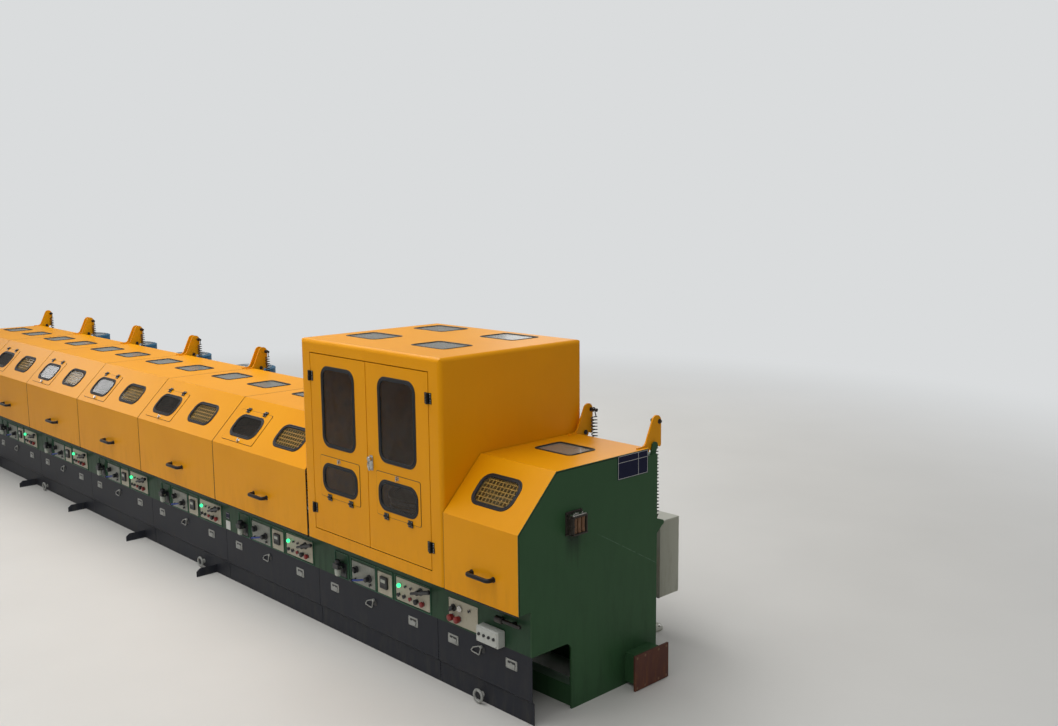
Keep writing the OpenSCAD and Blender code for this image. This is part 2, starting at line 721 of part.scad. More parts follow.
// Pulleys and belt of every drive, as one closed loop
module drive_belts() {
    gear_y = wall_y - gear_set;
    color("#2A2A2C") place() for (x = blocks_x) translate([x, 0, shelf_z - shelf_t - 20 - pulley_h]) {
        translate([0, motor_y, 0]) cylinder(r = pulley_r, h = pulley_h);
        translate([0, motor_y, pulley_h - fuse]) cylinder(r = 40, h = 20 + fuse);
        translate([0, gear_y, 0]) cylinder(r = pulley_r, h = pulley_h);
        for (i = [-1, 1]) translate([i > 0 ? pulley_r - belt_t : -pulley_r, gear_y,
            (pulley_h - belt_w) / 2])
            cube([belt_t, motor_y - gear_y, belt_w]);
    }
}

// Curved guard round the motor pulley, hung under the motor bracket
module belt_guards() {
    color("#E8A11C") place() {
        for (x = blocks_x) translate([x, motor_y, shelf_z - shelf_t - guard_h - 12]) guard(guard_r,
            guard_h);
        translate([pump_x, pump_y, pump_z - 14 - guard_h + 50 - 12]) guard(135, guard_h - 50);
    }
}
module guard(r, h) {
    rotate_extrude(angle = 180, $fn = 64) translate([r - 4, 0]) square([4, h]);
    for (i = [-1, 1]) translate([i > 0 ? r - 4 : -r, -46, 0]) cube([4, 46 + fuse, h]);
    for (i = [-1, 1]) translate([i > 0 ? r - 34 : -r, -26, h - fuse]) cube([34, 26, 12 + fuse]);
}

// Housings beside each motor: a square column and a round one with a ribbed cap
module gear_columns() {
    color("#35604A") place() for (x = blocks_x) {
        block([x + col_x, wall_y + wall_t, shelf_z], [x + col_x + col_w, frame_depth - beam_d - 4,
            shelf_z + col_h]);
        block([x + col_x - 6, wall_y + wall_t, shelf_z + col_h - 24],
            [x + col_x + col_w + 6, frame_depth - beam_d, shelf_z + col_h + 12]);
        translate([x + post_x, wall_y + wall_t + post_r + 2, shelf_z]) cylinder(r = post_r, h = round_h);
    }
}
module gear_caps() {
    color("#26262A") place() for (x = blocks_x) translate([x + post_x, wall_y + wall_t + post_r + 2,
        shelf_z + round_h])
        rotate_extrude($fn = 40) polygon([[0, 0], [post_r, 0], for (i = [0:4]) each [[post_r, i * 16 + 4],
            [post_r - 8, i * 16 + 8], [post_r - 8, i * 16 + 12], [post_r, i * 16 + 16]], [post_r - 6, 92],
                [0, 92]]);
}

module air_cylinders() {
    h = air_r + 11;
    color("#B8BABC") place() for (x = blocks_x)
        translate([x + col_x + col_w / 2, frame_depth - beam_d - 45, shelf_z + col_h + 12]) {
            translate([-60, -air_r, 0]) cube([120, 2 * air_r, 12]);
            translate([-air_l / 2, 0, h]) rotate([0, 90, 0]) cylinder(r = air_r, h = air_l);
            for (i = [-air_l / 2, air_l / 2 - 30]) translate([i, -air_r - 3, 8]) cube([30, 2 * air_r + 6,
                2 * air_r + 6]);
            translate([-air_l / 2 - 80, 0, h]) rotate([0, 90, 0]) cylinder(r = 8, h = 90);
        }
}

pump_x = -430;
pump_y = frame_depth + 205;
pump_z = 560;
// Small stacked motor on its own bracket
module pump_motor() {
    color("#45474C") place() {
        translate([pump_x, pump_y, pump_z]) rotate_extrude($fn = 48) polygon([[0, 0], [98, 0], [98, 16],
            [80, 22], [80, 150],
            [94, 156], [94, 236], [86, 242], [86, 300], [92, 306], [92, 384], [80, 398], [0, 398]]);
    }
}
module pump_bracket() {
    color("#35604A") place() {
        block([pump_x - 110, wall_y + wall_t, pump_z - 14], [pump_x + 110, pump_y + 110, pump_z]);
        for (i = [-1, 1]) along_x(pump_x + i * 100 - 5, 10) polygon([[wall_y + wall_t, pump_z - 14 + fuse],
            [wall_y + wall_t, pump_z + 120], [wall_y + wall_t + 40, pump_z + 120],
                [pump_y - 110, pump_z - 14 + fuse]]);
    }
}

// Electrical cabinet on a post behind the exit end
module junction_cabinet() {
    x_mid = box_x + box_w / 2;
    y_mid = rear_reach - box_d / 2;
    color("#A5A594") place() {
        block([box_x, rear_reach - box_d, box_z], [box_x + box_w, rear_reach, box_z + box_h]);
        translate([x_mid, y_mid, 0]) cylinder(d = box_post_d, h = box_z + 1);
        translate([x_mid, y_mid, 0]) cylinder(d = box_foot_d, h = 10);
        translate([cab_right - 5, frame_depth, box_z + box_h - box_arm_drop])
            cube([box_arm_w, rear_reach - box_d - frame_depth + fuse, box_arm_w]);
    }
}

module air_duct() {
    color("#45474C") place() {
        difference() {
            block([-262, wall_y + wall_t, 930], [-116, frame_depth - beam_d + 110, 1110]);
            block([-252, wall_y + wall_t + 20, 900], [-126, frame_depth - beam_d + 100, 1100]);
        }
    }
}

// Guide on the end plate where the wire leaves: a back plate and an open-fronted box
// with three upright rollers under a cover plate
module exit_guide() {
    y0 = 357;
    z0 = 1012;
    wall = 9;
    roller_r = 12;
    color("#2C2D30") place() {
        block([0, y0 - 6, z0 - 8], [8, y0 + guide_w + 8, z0 + guide_h + 16]);
        difference() {
            block([8 - fuse, y0, z0], [guide_d, y0 + guide_w, z0 + guide_h]);
            block([8, y0 + wall, z0 + wall], [guide_d + 1, y0 + guide_w - wall, z0 + guide_h - wall]);
        }
        for (i = [-1:1]) translate([guide_d - 22, y0 + guide_w / 2 + i * (guide_w - 2 * wall) / 3,
            z0 + wall - fuse])
            cylinder(r = roller_r, h = guide_h - 2 * wall + 2 * fuse);
        block([8 - fuse, y0 + 5, z0 + guide_h - fuse], [guide_d - 8, y0 + guide_w - 5, z0 + guide_h + 7]);
    }
}

// Stub of the coolant trough that leaves the frame at the rear of the end plate
module end_stub() {
    color("#2C5039") place() {
        difference() {
            block([0, frame_depth - 280, 20], [stub_l, frame_depth - 65, 195]);
            block([-1, frame_depth - 272, 28], [stub_l + 1, frame_depth - 73, 187]);
        }
    }
}
module stub_flange() {
    color("#4A2E26") place() block([stub_l, frame_depth - 324, 4],
        [stub_l + flange_t, frame_depth - 25, 215]);
}

// Cabinet over the last block: sheet walls and roof, open to the deck
module cabinet_shell() {
    t = hood_t;
    color("#E8A11C") place() difference() {
        cabinet_body(0, hood_z);
        cabinet_body(t, hood_z - 1);
        block([door_l - door_gap / 2, -1, door_z0 - door_gap], [door_r + door_gap / 2, t + 1,
            door_z1 + door_gap]);
        for (w = cab_roof_wins()) on_roof(w[0], w[1], cabinet_z) window_cut(w[2], w[3], roof_win_r);
        block([cab_left - 1, wall_y, hood_z - 1], [cab_right + 1, frame_depth + 1, beam_z]);
    }
    color("#E8A11C") place() for (x = [cab_left, cab_right - t])
        block([x, strip_set + strip_t, deck_z], [x + t, wall_y, hood_z + fuse]);
}
// Form of the cabinet with every upright and roof edge rounded, g inside its outer faces
module cabinet_body(g, z0) {
    z1 = cabinet_z - g;
    r = cab_r - g;
    intersection() {
        translate([door_mid, frame_depth / 2, z0]) linear_extrude(z1 - z0)
            rrect(cabinet_w - 2 * g, frame_depth - 2 * g, r);
        along_x(cab_left, cabinet_w) round_top(g, frame_depth - g, z0, z1, r);
        translate([0, frame_depth, 0]) rotate([90, 0, 0]) linear_extrude(frame_depth)
            round_top(cab_left + g, cab_right - g, z0, z1, r);
    }
}
module round_top(a, b, z0, z1, r) {
    translate([a, z0]) square([b - a, z1 - z0 - r]);
    translate([a + r, z1 - 2 * r]) square([b - a - 2 * r, 2 * r]);
    for (x = [a + r, b - r]) translate([x, z1 - r]) circle(r);
}
function cab_roof_wins() = [for (x = [-1, 1], y = [cab_win_front, frame_depth - cab_win_rear])
    [door_mid + x * cab_win_x - cab_win_shift, y, roof_win_w + 20, roof_win_d]];
module cabinet_windows() {
    color("#26262A") place() for (w = cab_roof_wins()) on_roof(w[0], w[1], cabinet_z)
        window(w[2], w[3], hood_t, roof_win_r);
}

// Lift-off hinges: the lower half with its pin is on the cabinet
hinges_z = [door_z0 + 135, door_z1 - 144];
module cabinet_hinges() {
    color("#26262A") place() for (z = hinges_z, s = [-1, 1]) {
        x = s < 0 ? door_l : door_r;
        translate([x, hinge_y, z - hinge_h / 2]) {
            cylinder(r = barrel_r, h = hinge_h / 2 - 0.3);
            cylinder(r = barrel_r / 2, h = hinge_h - 8);
        }
        block([s < 0 ? x - 30 : x, -3, z - hinge_h / 2], [s < 0 ? x : x + 30, 0, z - 0.3]);
        block([x - 2, hinge_y, z - hinge_h / 2], [x + 2, -1, z - 0.3]);
    }
}

// Folded door with a tall window and an inspection flap; s is the hinge side
module door_panel(s) {
    x0 = s < 0 ? door_l + door_gap / 2 : door_mid + door_gap / 2;
    x1 = s < 0 ? door_mid - door_gap / 2 : door_r - door_gap / 2;
    xm = (x0 + x1) / 2;
    t = hood_t;
    difference() {
        union() {
            difference() {
                block([x0, 0, door_z0], [x1, door_t, door_z1]);
                block([x0 + t, t, door_z0 + t], [x1 - t, door_t + 1, door_z1 - t]);
            }
            on_front(xm, low_win_z + 4) translate([0, 0, -fuse]) linear_extrude(flap_t + fuse)
                rrect(flap_w, flap_h, 14);
        }
        on_front(xm, tall_z) window_cut(tall_w, tall_h);
        on_front(xm, low_win_z) window_cut(win_w + 25, win_h);
    }
}
module door_trim(s) {
    x0 = s < 0 ? door_l + door_gap / 2 : door_mid + door_gap / 2;
    x1 = s < 0 ? door_mid - door_gap / 2 : door_r - door_gap / 2;
    xm = (x0 + x1) / 2;
    x = s < 0 ? door_l : door_r;
    on_front(xm, tall_z) window(tall_w, tall_h);
    on_front(xm, low_win_z) translate([0, 0, flap_t]) window(win_w + 25, win_h, hood_t + flap_t);
    for (i = [-1, 1]) on_front(xm + i * 115, low_win_z + 4 - flap_h / 2 + 6) translate([0, 0, flap_t])
        cylinder(d = 26, h = 9);
    for (z = hinges_z) {
        translate([x, hinge_y, z + 0.3]) difference() {
            cylinder(r = barrel_r, h = hinge_h / 2 - 0.3);
            translate([0, 0, -1]) cylinder(r = barrel_r / 2 + pin_clear, h = hinge_h / 2 - 6);
        }
        difference() {
            union() {
                block([s < 0 ? x + door_gap / 2 : x - 30, -3, z + 0.3],
                    [s < 0 ? x + 30 : x - door_gap / 2, 0, z + hinge_h / 2]);
                block([s < 0 ? x : x - 8, hinge_y, z + 0.3], [s < 0 ? x + 8 : x, -2, z + hinge_h / 2]);
            }
            translate([x, hinge_y, z - 1]) cylinder(r = barrel_r / 2 + pin_clear, h = hinge_h / 2 - 5);
        }
    }
}
module door_left() { color("#E8A11C") place() door_panel(-1); }
module door_left_trim() { color("#26262A") place() door_trim(-1); }
module door_right() { color("#E8A11C") place() door_panel(1); }
module door_right_trim() { color("#26262A") place() door_trim(1); }
// Lever handle on its plate; the lever hangs down from a round boss
module door_lock() {
    color("#C8C8CA") place() on_front(door_mid + 40, 1258) {
        linear_extrude(6) rrect(38, 92, 12);
        translate([0, 26, 6 - fuse]) cylinder(d = 32, h = 16);
        translate([-8, -44, 12]) cube([16, 70, 10]);
        translate([0, -44, 12]) cylinder(r = 8, h = 10);
    }
}

module hood_1() { low_hood(1); }
module hood_2() { low_hood(2); }
module hood_3() { low_hood(3); }
module hood_4() { low_hood(4); }
module hood_5() { low_hood(5); }
module hood_6() { low_hood(6); }
module hood_1_trim() { low_trim(1); }
module hood_2_trim() { low_trim(2); }
module hood_3_trim() { low_trim(3); }
module hood_4_trim() { low_trim(4); }
module hood_5_trim() { low_trim(5); }
module hood_6_trim() { low_trim(6); }
module springs_1() { spring_pair(bay_left(1), bay_right(1)); }
module springs_2() { spring_pair(bay_left(2), bay_right(2)); }
module springs_3() { spring_pair(bay_left(3), bay_right(3)); }
module springs_4() { spring_pair(bay_left(4), bay_right(4)); }
module springs_5() { spring_pair(bay_left(5), bay_right(5)); }
module springs_6() { spring_pair(bay_left(6), bay_right(6)); }
module springs_end() { spring_pair(cab_right, 0); }

end_plate_near();
end_plate_far();
base_rails();
bulkheads();
deck();
rear_beam();
rear_posts();
rear_wall();
control_strip();
control_plates();
skirt_panels();
floor_feet();
capstans();
die_boxes();
motors();
motor_cowls();
motor_shelf();
shelf_gussets();
drive_belts();
belt_guards();
gear_columns();
gear_caps();
air_cylinders();
pump_motor();
pump_bracket();
junction_cabinet();
air_duct();
exit_guide();
end_stub();
stub_flange();
cabinet_shell();
cabinet_windows();
cabinet_hinges();
door_left();
door_left_trim();
door_right();
door_right_trim();
door_lock();
hood_1();
hood_2();
hood_3();
hood_4();
hood_5();
hood_6();
end_hood();
hood_1_trim();
hood_2_trim();
hood_3_trim();
hood_4_trim();
hood_5_trim();
hood_6_trim();
end_hood_trim();
springs_1();
springs_2();
springs_3();
springs_4();
springs_5();
springs_6();
springs_end();
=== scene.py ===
import math

import bmesh
import bpy
from mathutils import Matrix, Vector


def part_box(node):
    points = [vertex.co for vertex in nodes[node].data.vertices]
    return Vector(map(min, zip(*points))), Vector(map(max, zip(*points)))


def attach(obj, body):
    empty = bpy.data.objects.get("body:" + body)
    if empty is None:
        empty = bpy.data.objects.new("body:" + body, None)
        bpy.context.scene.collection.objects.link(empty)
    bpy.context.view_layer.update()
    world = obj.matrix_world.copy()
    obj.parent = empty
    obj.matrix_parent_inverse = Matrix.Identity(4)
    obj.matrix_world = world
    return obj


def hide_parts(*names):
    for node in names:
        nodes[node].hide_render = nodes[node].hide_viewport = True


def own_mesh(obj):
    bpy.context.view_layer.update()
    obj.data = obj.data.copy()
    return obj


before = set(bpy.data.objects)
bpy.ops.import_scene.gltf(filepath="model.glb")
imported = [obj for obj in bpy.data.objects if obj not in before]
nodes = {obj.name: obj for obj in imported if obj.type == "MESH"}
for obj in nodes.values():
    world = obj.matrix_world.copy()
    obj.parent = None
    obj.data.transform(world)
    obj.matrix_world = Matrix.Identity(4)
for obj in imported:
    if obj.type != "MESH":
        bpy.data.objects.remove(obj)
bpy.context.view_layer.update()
scene = bpy.context.scene
scene.view_settings.view_transform = "Standard"


# Studio: pale floor, soft light and the photograph's viewpoint.
# A plain concrete-coloured floor under one wide lamp, with softer lamps on both sides, a lamp
# at the exit end, one where the hall has its windows, and a pale surround to mirror.
def srgb(code):
    """Linear colour of an sRGB hex value such as #E8A11C."""
    parts = [int(code[i:i + 2], 16) / 255 for i in (1, 3, 5)]
    return tuple(c / 12.92 if c <= 0.04045 else ((c + 0.055) / 1.055) ** 2.4 for c in parts) + (1,)


def feed(tree, n, inputs):
    """Sets each input of a node to a plain value, or links it to another node's output."""
    for key, value in inputs.items():
        if isinstance(value, bpy.types.NodeSocket):
            tree.links.new(value, n.inputs[key])
        else:
            n.inputs[key].default_value = value


def add(tree, kind, inputs=None, out=0, **settings):
    """Adds one node and returns one of its outputs, or the node where it has none."""
    n = tree.nodes.new(kind)
    for key, value in settings.items():
        setattr(n, key, value)
    feed(tree, n, inputs or {})
    return n.outputs[out] if n.outputs else n


def calc(tree, operation, *values):
    """One step of arithmetic on node outputs and plain numbers."""
    return add(tree, "ShaderNodeMath", dict(enumerate(values)), operation=operation)


def product(tree, first, *others):
    for value in others:
        first = calc(tree, "MULTIPLY", first, value)
    return first


def blend(tree, share, first, second):
    """Colour between two others, each a hex value or a node's output."""
    first, second = (srgb(c) if isinstance(c, str) else c for c in (first, second))
    return add(tree, "ShaderNodeMix", {0: share, 6: first, 7: second}, 2, data_type="RGBA")


def noise(tree, place, scale, detail=2.0, **more):
    return add(tree, "ShaderNodeTexNoise", {"Vector": place, "Scale": scale, "Detail": detail, **more})


def remap(tree, value, low, high, start=0.0, end=1.0, **settings):
    """Stretches a value from the range start to end to the range low to high."""
    return add(tree, "ShaderNodeMapRange", {"Value": value, "From Min": start, "From Max": end, "To Min": low,
                                            "To Max": high}, **settings)


def bump(tree, height, strength, distance, **normal):
    return add(tree, "ShaderNodeBump", {"Height": height, "Strength": strength, "Distance": distance, **normal})


def in_view(tree):
    """1 for what the camera sees straight or through a pane, else 0."""
    rays = add(tree, "ShaderNodeLightPath").node.outputs
    return calc(tree, "MAXIMUM", rays["Is Camera Ray"], rays["Is Transmission Ray"])


def material(name):
    """A material with an empty surface shader, and the object's own coordinates in metres."""
    m = bpy.data.materials.new(name)
    m.use_nodes = True
    tree = m.node_tree
    tree.nodes.clear()
    surface = add(tree, "ShaderNodeBsdfPrincipled")
    add(tree, "ShaderNodeOutputMaterial", {"Surface": surface})
    return m, tree, surface.node, add(tree, "ShaderNodeTexCoord", out="Object")


PALE = srgb("#DADCDD")
camera = bpy.data.objects.new("camera", bpy.data.cameras.new("camera"))
camera.data.lens = 36.99
camera.data.sensor_width = 36
yaw, pitch, roll = (math.radians(d) for d in (46.25, -8.4165, -0.514))
forward = Vector((-math.sin(yaw) * math.cos(pitch), math.cos(yaw) * math.cos(pitch), math.sin(pitch)))
right = forward.cross(Vector((0, 0, 1))).normalized()
up = right.cross(forward)
right, up = right * math.cos(roll) + up * math.sin(roll), up * math.cos(roll) - right * math.sin(roll)
camera.matrix_world = (Matrix.Translation((8.660, -4.5235, 2.789))
                       @ Matrix((right, up, -forward)).transposed().to_4x4())
scene.collection.objects.link(camera)
scene.camera = camera

world = bpy.data.worlds.new("surround")
scene.world = world
world.use_nodes = True
sky = world.node_tree
sky.nodes.clear()
lit = add(sky, "ShaderNodeBackground", {"Color": srgb("#F4F5F6"), "Strength": 0.36})
shown = add(sky, "ShaderNodeBackground", {"Color": PALE, "Strength": 1.0})
both = add(sky, "ShaderNodeMixShader", {0: in_view(sky), 1: lit, 2: shown})
add(sky, "ShaderNodeOutputWorld", {"Surface": both})

for name, stand, aim, wide, deep, watts in (
        ("overhead", (-0.5, -0.6, 7.5), (0, 0, 0.6), 13, 5.0, 640),
        ("operator_side", (2.5, -9.5, 5.2), (0, -0.3, 0.8), 11, 4.0, 60),
        ("motor_side", (-1.0, 9.5, 4.8), (0, 0.5, 0.8), 11, 4.0, 170),
        ("far_windows", (-15.0, -2.9, 6.4), (0, 0, 1.0), 5, 1.7, 130),
        ("exit_end", (7.4, -3.2, 5.2), (4.4, -0.3, 1.2), 2.4, 2.4, 34)):
    lamp = bpy.data.lights.new(name, "AREA")
    lamp.shape, lamp.size, lamp.size_y, lamp.energy = "RECTANGLE", wide, deep, watts
    holder = bpy.data.objects.new(name, lamp)
    holder.location = stand
    holder.rotation_euler = (Vector(aim) - Vector(stand)).to_track_quat("-Z", "Y").to_euler()
    scene.collection.objects.link(holder)

mesh = bpy.data.meshes.new("floor")
mesh.from_pydata([(-45, -45, 0), (45, -45, 0), (45, 45, 0), (-45, 45, 0)], [], [(0, 1, 2, 3)])
floor = bpy.data.objects.new("floor", mesh)
scene.collection.objects.link(floor)
m, tree, shader, place = material("pale_floor")
feed(tree, shader, {"Base Color": blend(tree, noise(tree, place, 0.9, 5.0), "#CDCBC6", "#D8D6D1"),
                    "Roughness": 0.7})
far = add(tree, "ShaderNodeVectorMath", {0: place}, "Value", operation="LENGTH")
fade = remap(tree, far, 0.0, 1.0, 5.0, 12.0, interpolation_type="SMOOTHSTEP")
share = calc(tree, "MULTIPLY", fade, in_view(tree))
pale = add(tree, "ShaderNodeEmission", {"Color": PALE, "Strength": 1.0})
mixed = add(tree, "ShaderNodeMixShader", {0: share, 1: shader.outputs[0], 2: pale})
feed(tree, tree.nodes["Material Output"], {"Surface": mixed})
mesh.materials.append(m)


# Bent sheet hoods, cabinet and doors.
# 4 mm folded sheet steel, sprayed with an orange-yellow two-pack enamel: satin, with slight
# oil-canning over the wide panels, fine orange peel, and dust and hand marks low down.
def enamel(name, colour, second, dirt, rough=0.34, low=0.6, high=0.9, dust=0.5, peel=0.00012, wave=0.0014):
    """A sprayed enamel coat; dirt gathers between the heights low and high."""
    m, tree, shader, place = material(name)
    tone = blend(tree, noise(tree, place, 2.2, 3.0), colour, second)
    height = add(tree, "ShaderNodeSeparateXYZ", {0: place}, 2)
    foot = remap(tree, height, 0.12, 1.0, high, low)
    smear = add(tree, "ShaderNodeMapping", {"Vector": place, "Scale": (1.0, 1.0, 0.22)})
    spots = remap(tree, noise(tree, smear, 21.0, 9.0, Roughness=0.68), 0.0, 1.0, 0.46, 0.74)
    film = product(tree, foot, spots, dust)
    skin = bump(tree, noise(tree, place, 320.0), 0.6, peel)
    sheet = bump(tree, noise(tree, place, 2.6, 1.0), 1.0, wave, Normal=skin)
    feed(tree, shader, {"Base Color": blend(tree, film, tone, dirt),
                        "Roughness": calc(tree, "MULTIPLY_ADD", film, 0.35, rough), "Normal": sheet,
                        "Specular IOR Level": 0.14, "Coat Weight": 0.02, "Coat Roughness": 0.2})
    return m


def coat(finish, *names):
    """Gives solids of the frame another finish in their own material slots."""
    for name in names:
        for part in nodes[name].material_slots:
            part.material = finish


yellow = enamel("yellow_enamel_on_bent_steel", "#E99E06", "#E09303", "#7A5418", rough=0.38, dust=0.2)
hoods = ["hood_%d" % k for k in range(1, 7)] + ["end_hood"]
coat(yellow, *hoods, "cabinet_shell", "door_left", "door_right")


# Welded frame.
# Flame-cut plate, square tube and folded strip, welded and sprayed dark green. The large end
# plate is dull with faint swirl and drip marks; the control strip is a little greyer.
FRAME_GREEN = ("#365838", "#304F34", "#1E2C1F", 0.42, 0.0, 1.2, 0.35, 0.0002, 0.001)
dark_green = enamel("dark_green_enamel_on_plate", *FRAME_GREEN)
strip_green = enamel("green_enamel_on_strip", "#314D37", "#2B4532", "#1C2821", rough=0.36, low=0.35, high=0.75,
                     dust=0.6)
coat(dark_green, "end_plate_near", "end_plate_far", "base_rails", "bulkheads", "rear_beam", "rear_posts",
     "rear_wall", "motor_shelf", "shelf_gussets", "gear_columns", "pump_bracket", "end_stub")
coat(strip_green, "control_strip", "deck")


# Skirt.
# Folded 3 mm kick panels in charcoal enamel, hung between the strip and the floor, scuffed by
# boots and washed with dried coolant toward the floor.
charcoal = enamel("charcoal_enamel_on_kick_panels", "#2C2E34", "#272930", "#55524A", rough=0.45, low=0.0,
                  high=0.34, dust=0.45, wave=0.0012)
coat(charcoal, "skirt_panels", "floor_feet")


# Windows of the hoods and doors.
# Panes of dark and clear acrylic held in the cut-outs by a two-lipped black rubber profile
# that is pressed over the sheet edge; the roof panes are milky, and the right-hand pane of
# each slope has a yellow sheet with square holes behind it.
MM = 0.001
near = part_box("end_plate_near")[1][0]
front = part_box("cabinet_shell")[0][1]
MACHINE = Matrix.Translation((near, front, 0)) @ Matrix.Scale(MM, 4)
SLOPE_Z, ROOF_Z, CABINET_Z, SLOPE_RUN = 1085, 1375, 1950, 285
SLOPE_A = math.atan2(ROOF_Z - SLOPE_Z, SLOPE_RUN)
SLOPE_L = math.hypot(ROOF_Z - SLOPE_Z, SLOPE_RUN)
BAY, CAB_R, CAB_L = 1250, -610, -2010
ROOF_MID, FLAP_X, FLAP_S = 699.5, -325, SLOPE_L / 2 - 27
QUARTER = math.pi / 2


def move(x, y, z=0):
    return Matrix.Translation((x, y, z))


def turn(axis, angle=QUARTER):
    return Matrix.Rotation(angle, 4, axis)


# turn a local Z axis to where X, Y or -Y points
TO_X, TO_Y, TO_FRONT = turn("Y"), turn("X", -QUARTER), turn("X")


def spot(x, y, z):
    """A place in millimetres from the exit end, the hood fronts and the floor."""
    return MACHINE @ move(x, y, z)


def on_slope(x, s, z=0):
    """Millimetres on the sloping face: along the machine, up the slope, outwards."""
    return spot(x, 0, SLOPE_Z) @ turn("X", SLOPE_A) @ move(0, s, z)


def on_front(x, z, out=0, y=0):
    """Millimetres on an upright face: along the machine, up, outwards."""
    return spot(x, y, z) @ TO_FRONT @ move(0, 0, out)


def wheel(radius, step, start=0, stop=360):
    """Points round a circle, every so many degrees."""
    return [(radius * math.cos(math.radians(a)), radius * math.sin(math.radians(a)))
            for a in range(start, stop, step)]


class Piece:
    """Collects closed shapes, in millimetres of a local place, into one mesh."""

    def __init__(self, name, *finishes):
        self.bm, self.name, self.finishes = bmesh.new(), name, finishes

    def put(self, points, faces, at, finish=0):
        made = [self.bm.verts.new(at @ Vector(p)) for p in points]
        for face in faces:
            try:
                self.bm.faces.new([made[i] for i in face]).material_index = finish
            except ValueError:
                pass

    def loops(self, rings, at, finish=0, closed=False):
        """Skin over rings of points; open ends are capped."""
        n, count = len(rings[0]), len(rings)
        faces = [(i * n + j, i * n + (j + 1) % n, (i + 1) % count * n + (j + 1) % n, (i + 1) % count * n + j)
                 for i in range(count if closed else count - 1) for j in range(n)]
        if not closed:
            faces += [tuple(range(n - 1, -1, -1)), tuple(range((count - 1) * n, count * n))]
        self.put([p for ring in rings for p in ring], faces, at, finish)

    def lathe(self, profile, at, finish=0, n=24, solid=True):
        """Shape turned about the local Z axis from (radius, height) points, filled to the axis."""
        (r0, z0), (r1, z1) = profile[0], profile[-1]
        profile = [(0, z0)] * (solid and r0 > 0) + profile + [(0, z1)] * (solid and r1 > 0)
        rings = [[(max(r, 0.01) * math.cos(2 * math.pi * i / n), max(r, 0.01) * math.sin(2 * math.pi * i / n), z)
                  for i in range(n)] for r, z in profile]
        self.loops(rings, at, finish)

    def slab(self, outline, z0, z1, at, finish=0, edge=0.8):
        """Plate with its outer edges eased on both faces."""
        small = []
        for i, (x, y) in enumerate(outline):
            d = (Vector(outline[(i + 1) % len(outline)]) - Vector(outline[i - 1])).normalized()
            small.append((x - d.y * edge, y + d.x * edge))
        self.loops([[(x, y, z) for x, y in points] for points, z in
                    ((small, z0), (outline, z0 + edge), (outline, z1 - edge), (small, z1))], at, finish)

    def block(self, low, high, at, finish=0, edge=1.5):
        """Box between two corners, with rounded upright edges and eased faces."""
        (x0, x1), (y0, y1), (z0, z1) = (sorted(ends) for ends in zip(low, high))
        cx, cy = (x0 + x1) / 2, (y0 + y1) / 2
        self.slab([(cx + x, cy + y) for x, y in rounded(x1 - x0, y1 - y0, edge * 1.5, 3)], z0, z1, at, finish,
                  min(edge, (z1 - z0) / 3))

    def tube(self, path, radius, at, finish=0, n=10, closed=False):
        """Round bar that follows a path."""
        path = [Vector(p) for p in path]
        rings, last, count = [], None, len(path)
        for i, p in enumerate(path):
            a = path[i - 1] if (i or closed) else p
            b = path[(i + 1) % count] if (i < count - 1 or closed) else p
            t = (b - a).normalized()
            side = t.orthogonal().normalized() if last is None else (last - t * last.dot(t)).normalized()
            last = side
            other = t.cross(side)
            rings.append([tuple(p + (side * math.cos(2 * math.pi * j / n) + other * math.sin(2 * math.pi * j / n))
                                * radius) for j in range(n)])
        self.loops(rings, at, finish, closed)

    def mesh(self, other, at, finish=0):
        self.put([v.co for v in other.vertices], [tuple(f.vertices) for f in other.polygons], at, finish)
        bpy.data.meshes.remove(other)

    def done(self, slot, *replaced, body="frame"):
        bmesh.ops.recalc_face_normals(self.bm, faces=self.bm.faces)
        data = bpy.data.meshes.new(self.name)
        self.bm.to_mesh(data)
        self.bm.free()
        for finish in self.finishes:
            data.materials.append(finish)
        data.shade_smooth()
        data.set_sharp_from_angle(angle=math.radians(38))
        piece = bpy.data.objects.new(self.name, data)
        scene.collection.objects.link(piece)
        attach(piece, body)
        if replaced:
            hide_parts(*replaced)
        return piece


def rounded(w, h, r, n=7):
    """Outline of a rectangle with round corners, about its middle."""
    return [(sx * (w / 2 - r) + r * math.cos(math.radians(a0 + 90 * i / (n - 1))),
             sy * (h / 2 - r) + r * math.sin(math.radians(a0 + 90 * i / (n - 1))))
            for sx, sy, a0 in ((1, 1, 0), (-1, 1, 90), (-1, -1, 180), (1, -1, 270)) for i in range(n)]


def grown(tree, **sizes):
    """Runs a node tree on an empty mesh with the given sizes and returns the plain mesh."""
    holder = bpy.data.objects.new("holder", bpy.data.meshes.new("holder"))
    scene.collection.objects.link(holder)
    modifier = holder.modifiers.new("grow", "NODES")
    modifier.node_group = tree
    for item in tree.interface.items_tree:
        if item.item_type == "SOCKET" and item.in_out == "INPUT" and item.name in sizes:
            modifier[item.identifier] = sizes[item.name]
    made = bpy.data.meshes.new_from_object(holder.evaluated_get(bpy.context.evaluated_depsgraph_get()))
    holder.modifiers.remove(modifier)
    bpy.data.objects.remove(holder)
    return made


def growth(name, **inputs):
    """An empty node tree with named number inputs; returns it with those inputs."""
    tree = bpy.data.node_groups.new(name, "GeometryNodeTree")
    for key, value in inputs.items():
        kind = "NodeSocketInt" if isinstance(value, int) else "NodeSocketFloat"
        tree.interface.new_socket(key, in_out="INPUT", socket_type=kind).default_value = value
    tree.interface.new_socket("Geometry", in_out="OUTPUT", socket_type="NodeSocketGeometry")
    return tree, add(tree, "NodeGroupInput").node.outputs


def joined(tree, *parts):
    join = geo(tree, "JoinGeometry")
    for part in parts:
        tree.links.new(part, join.node.inputs[0])
    return join


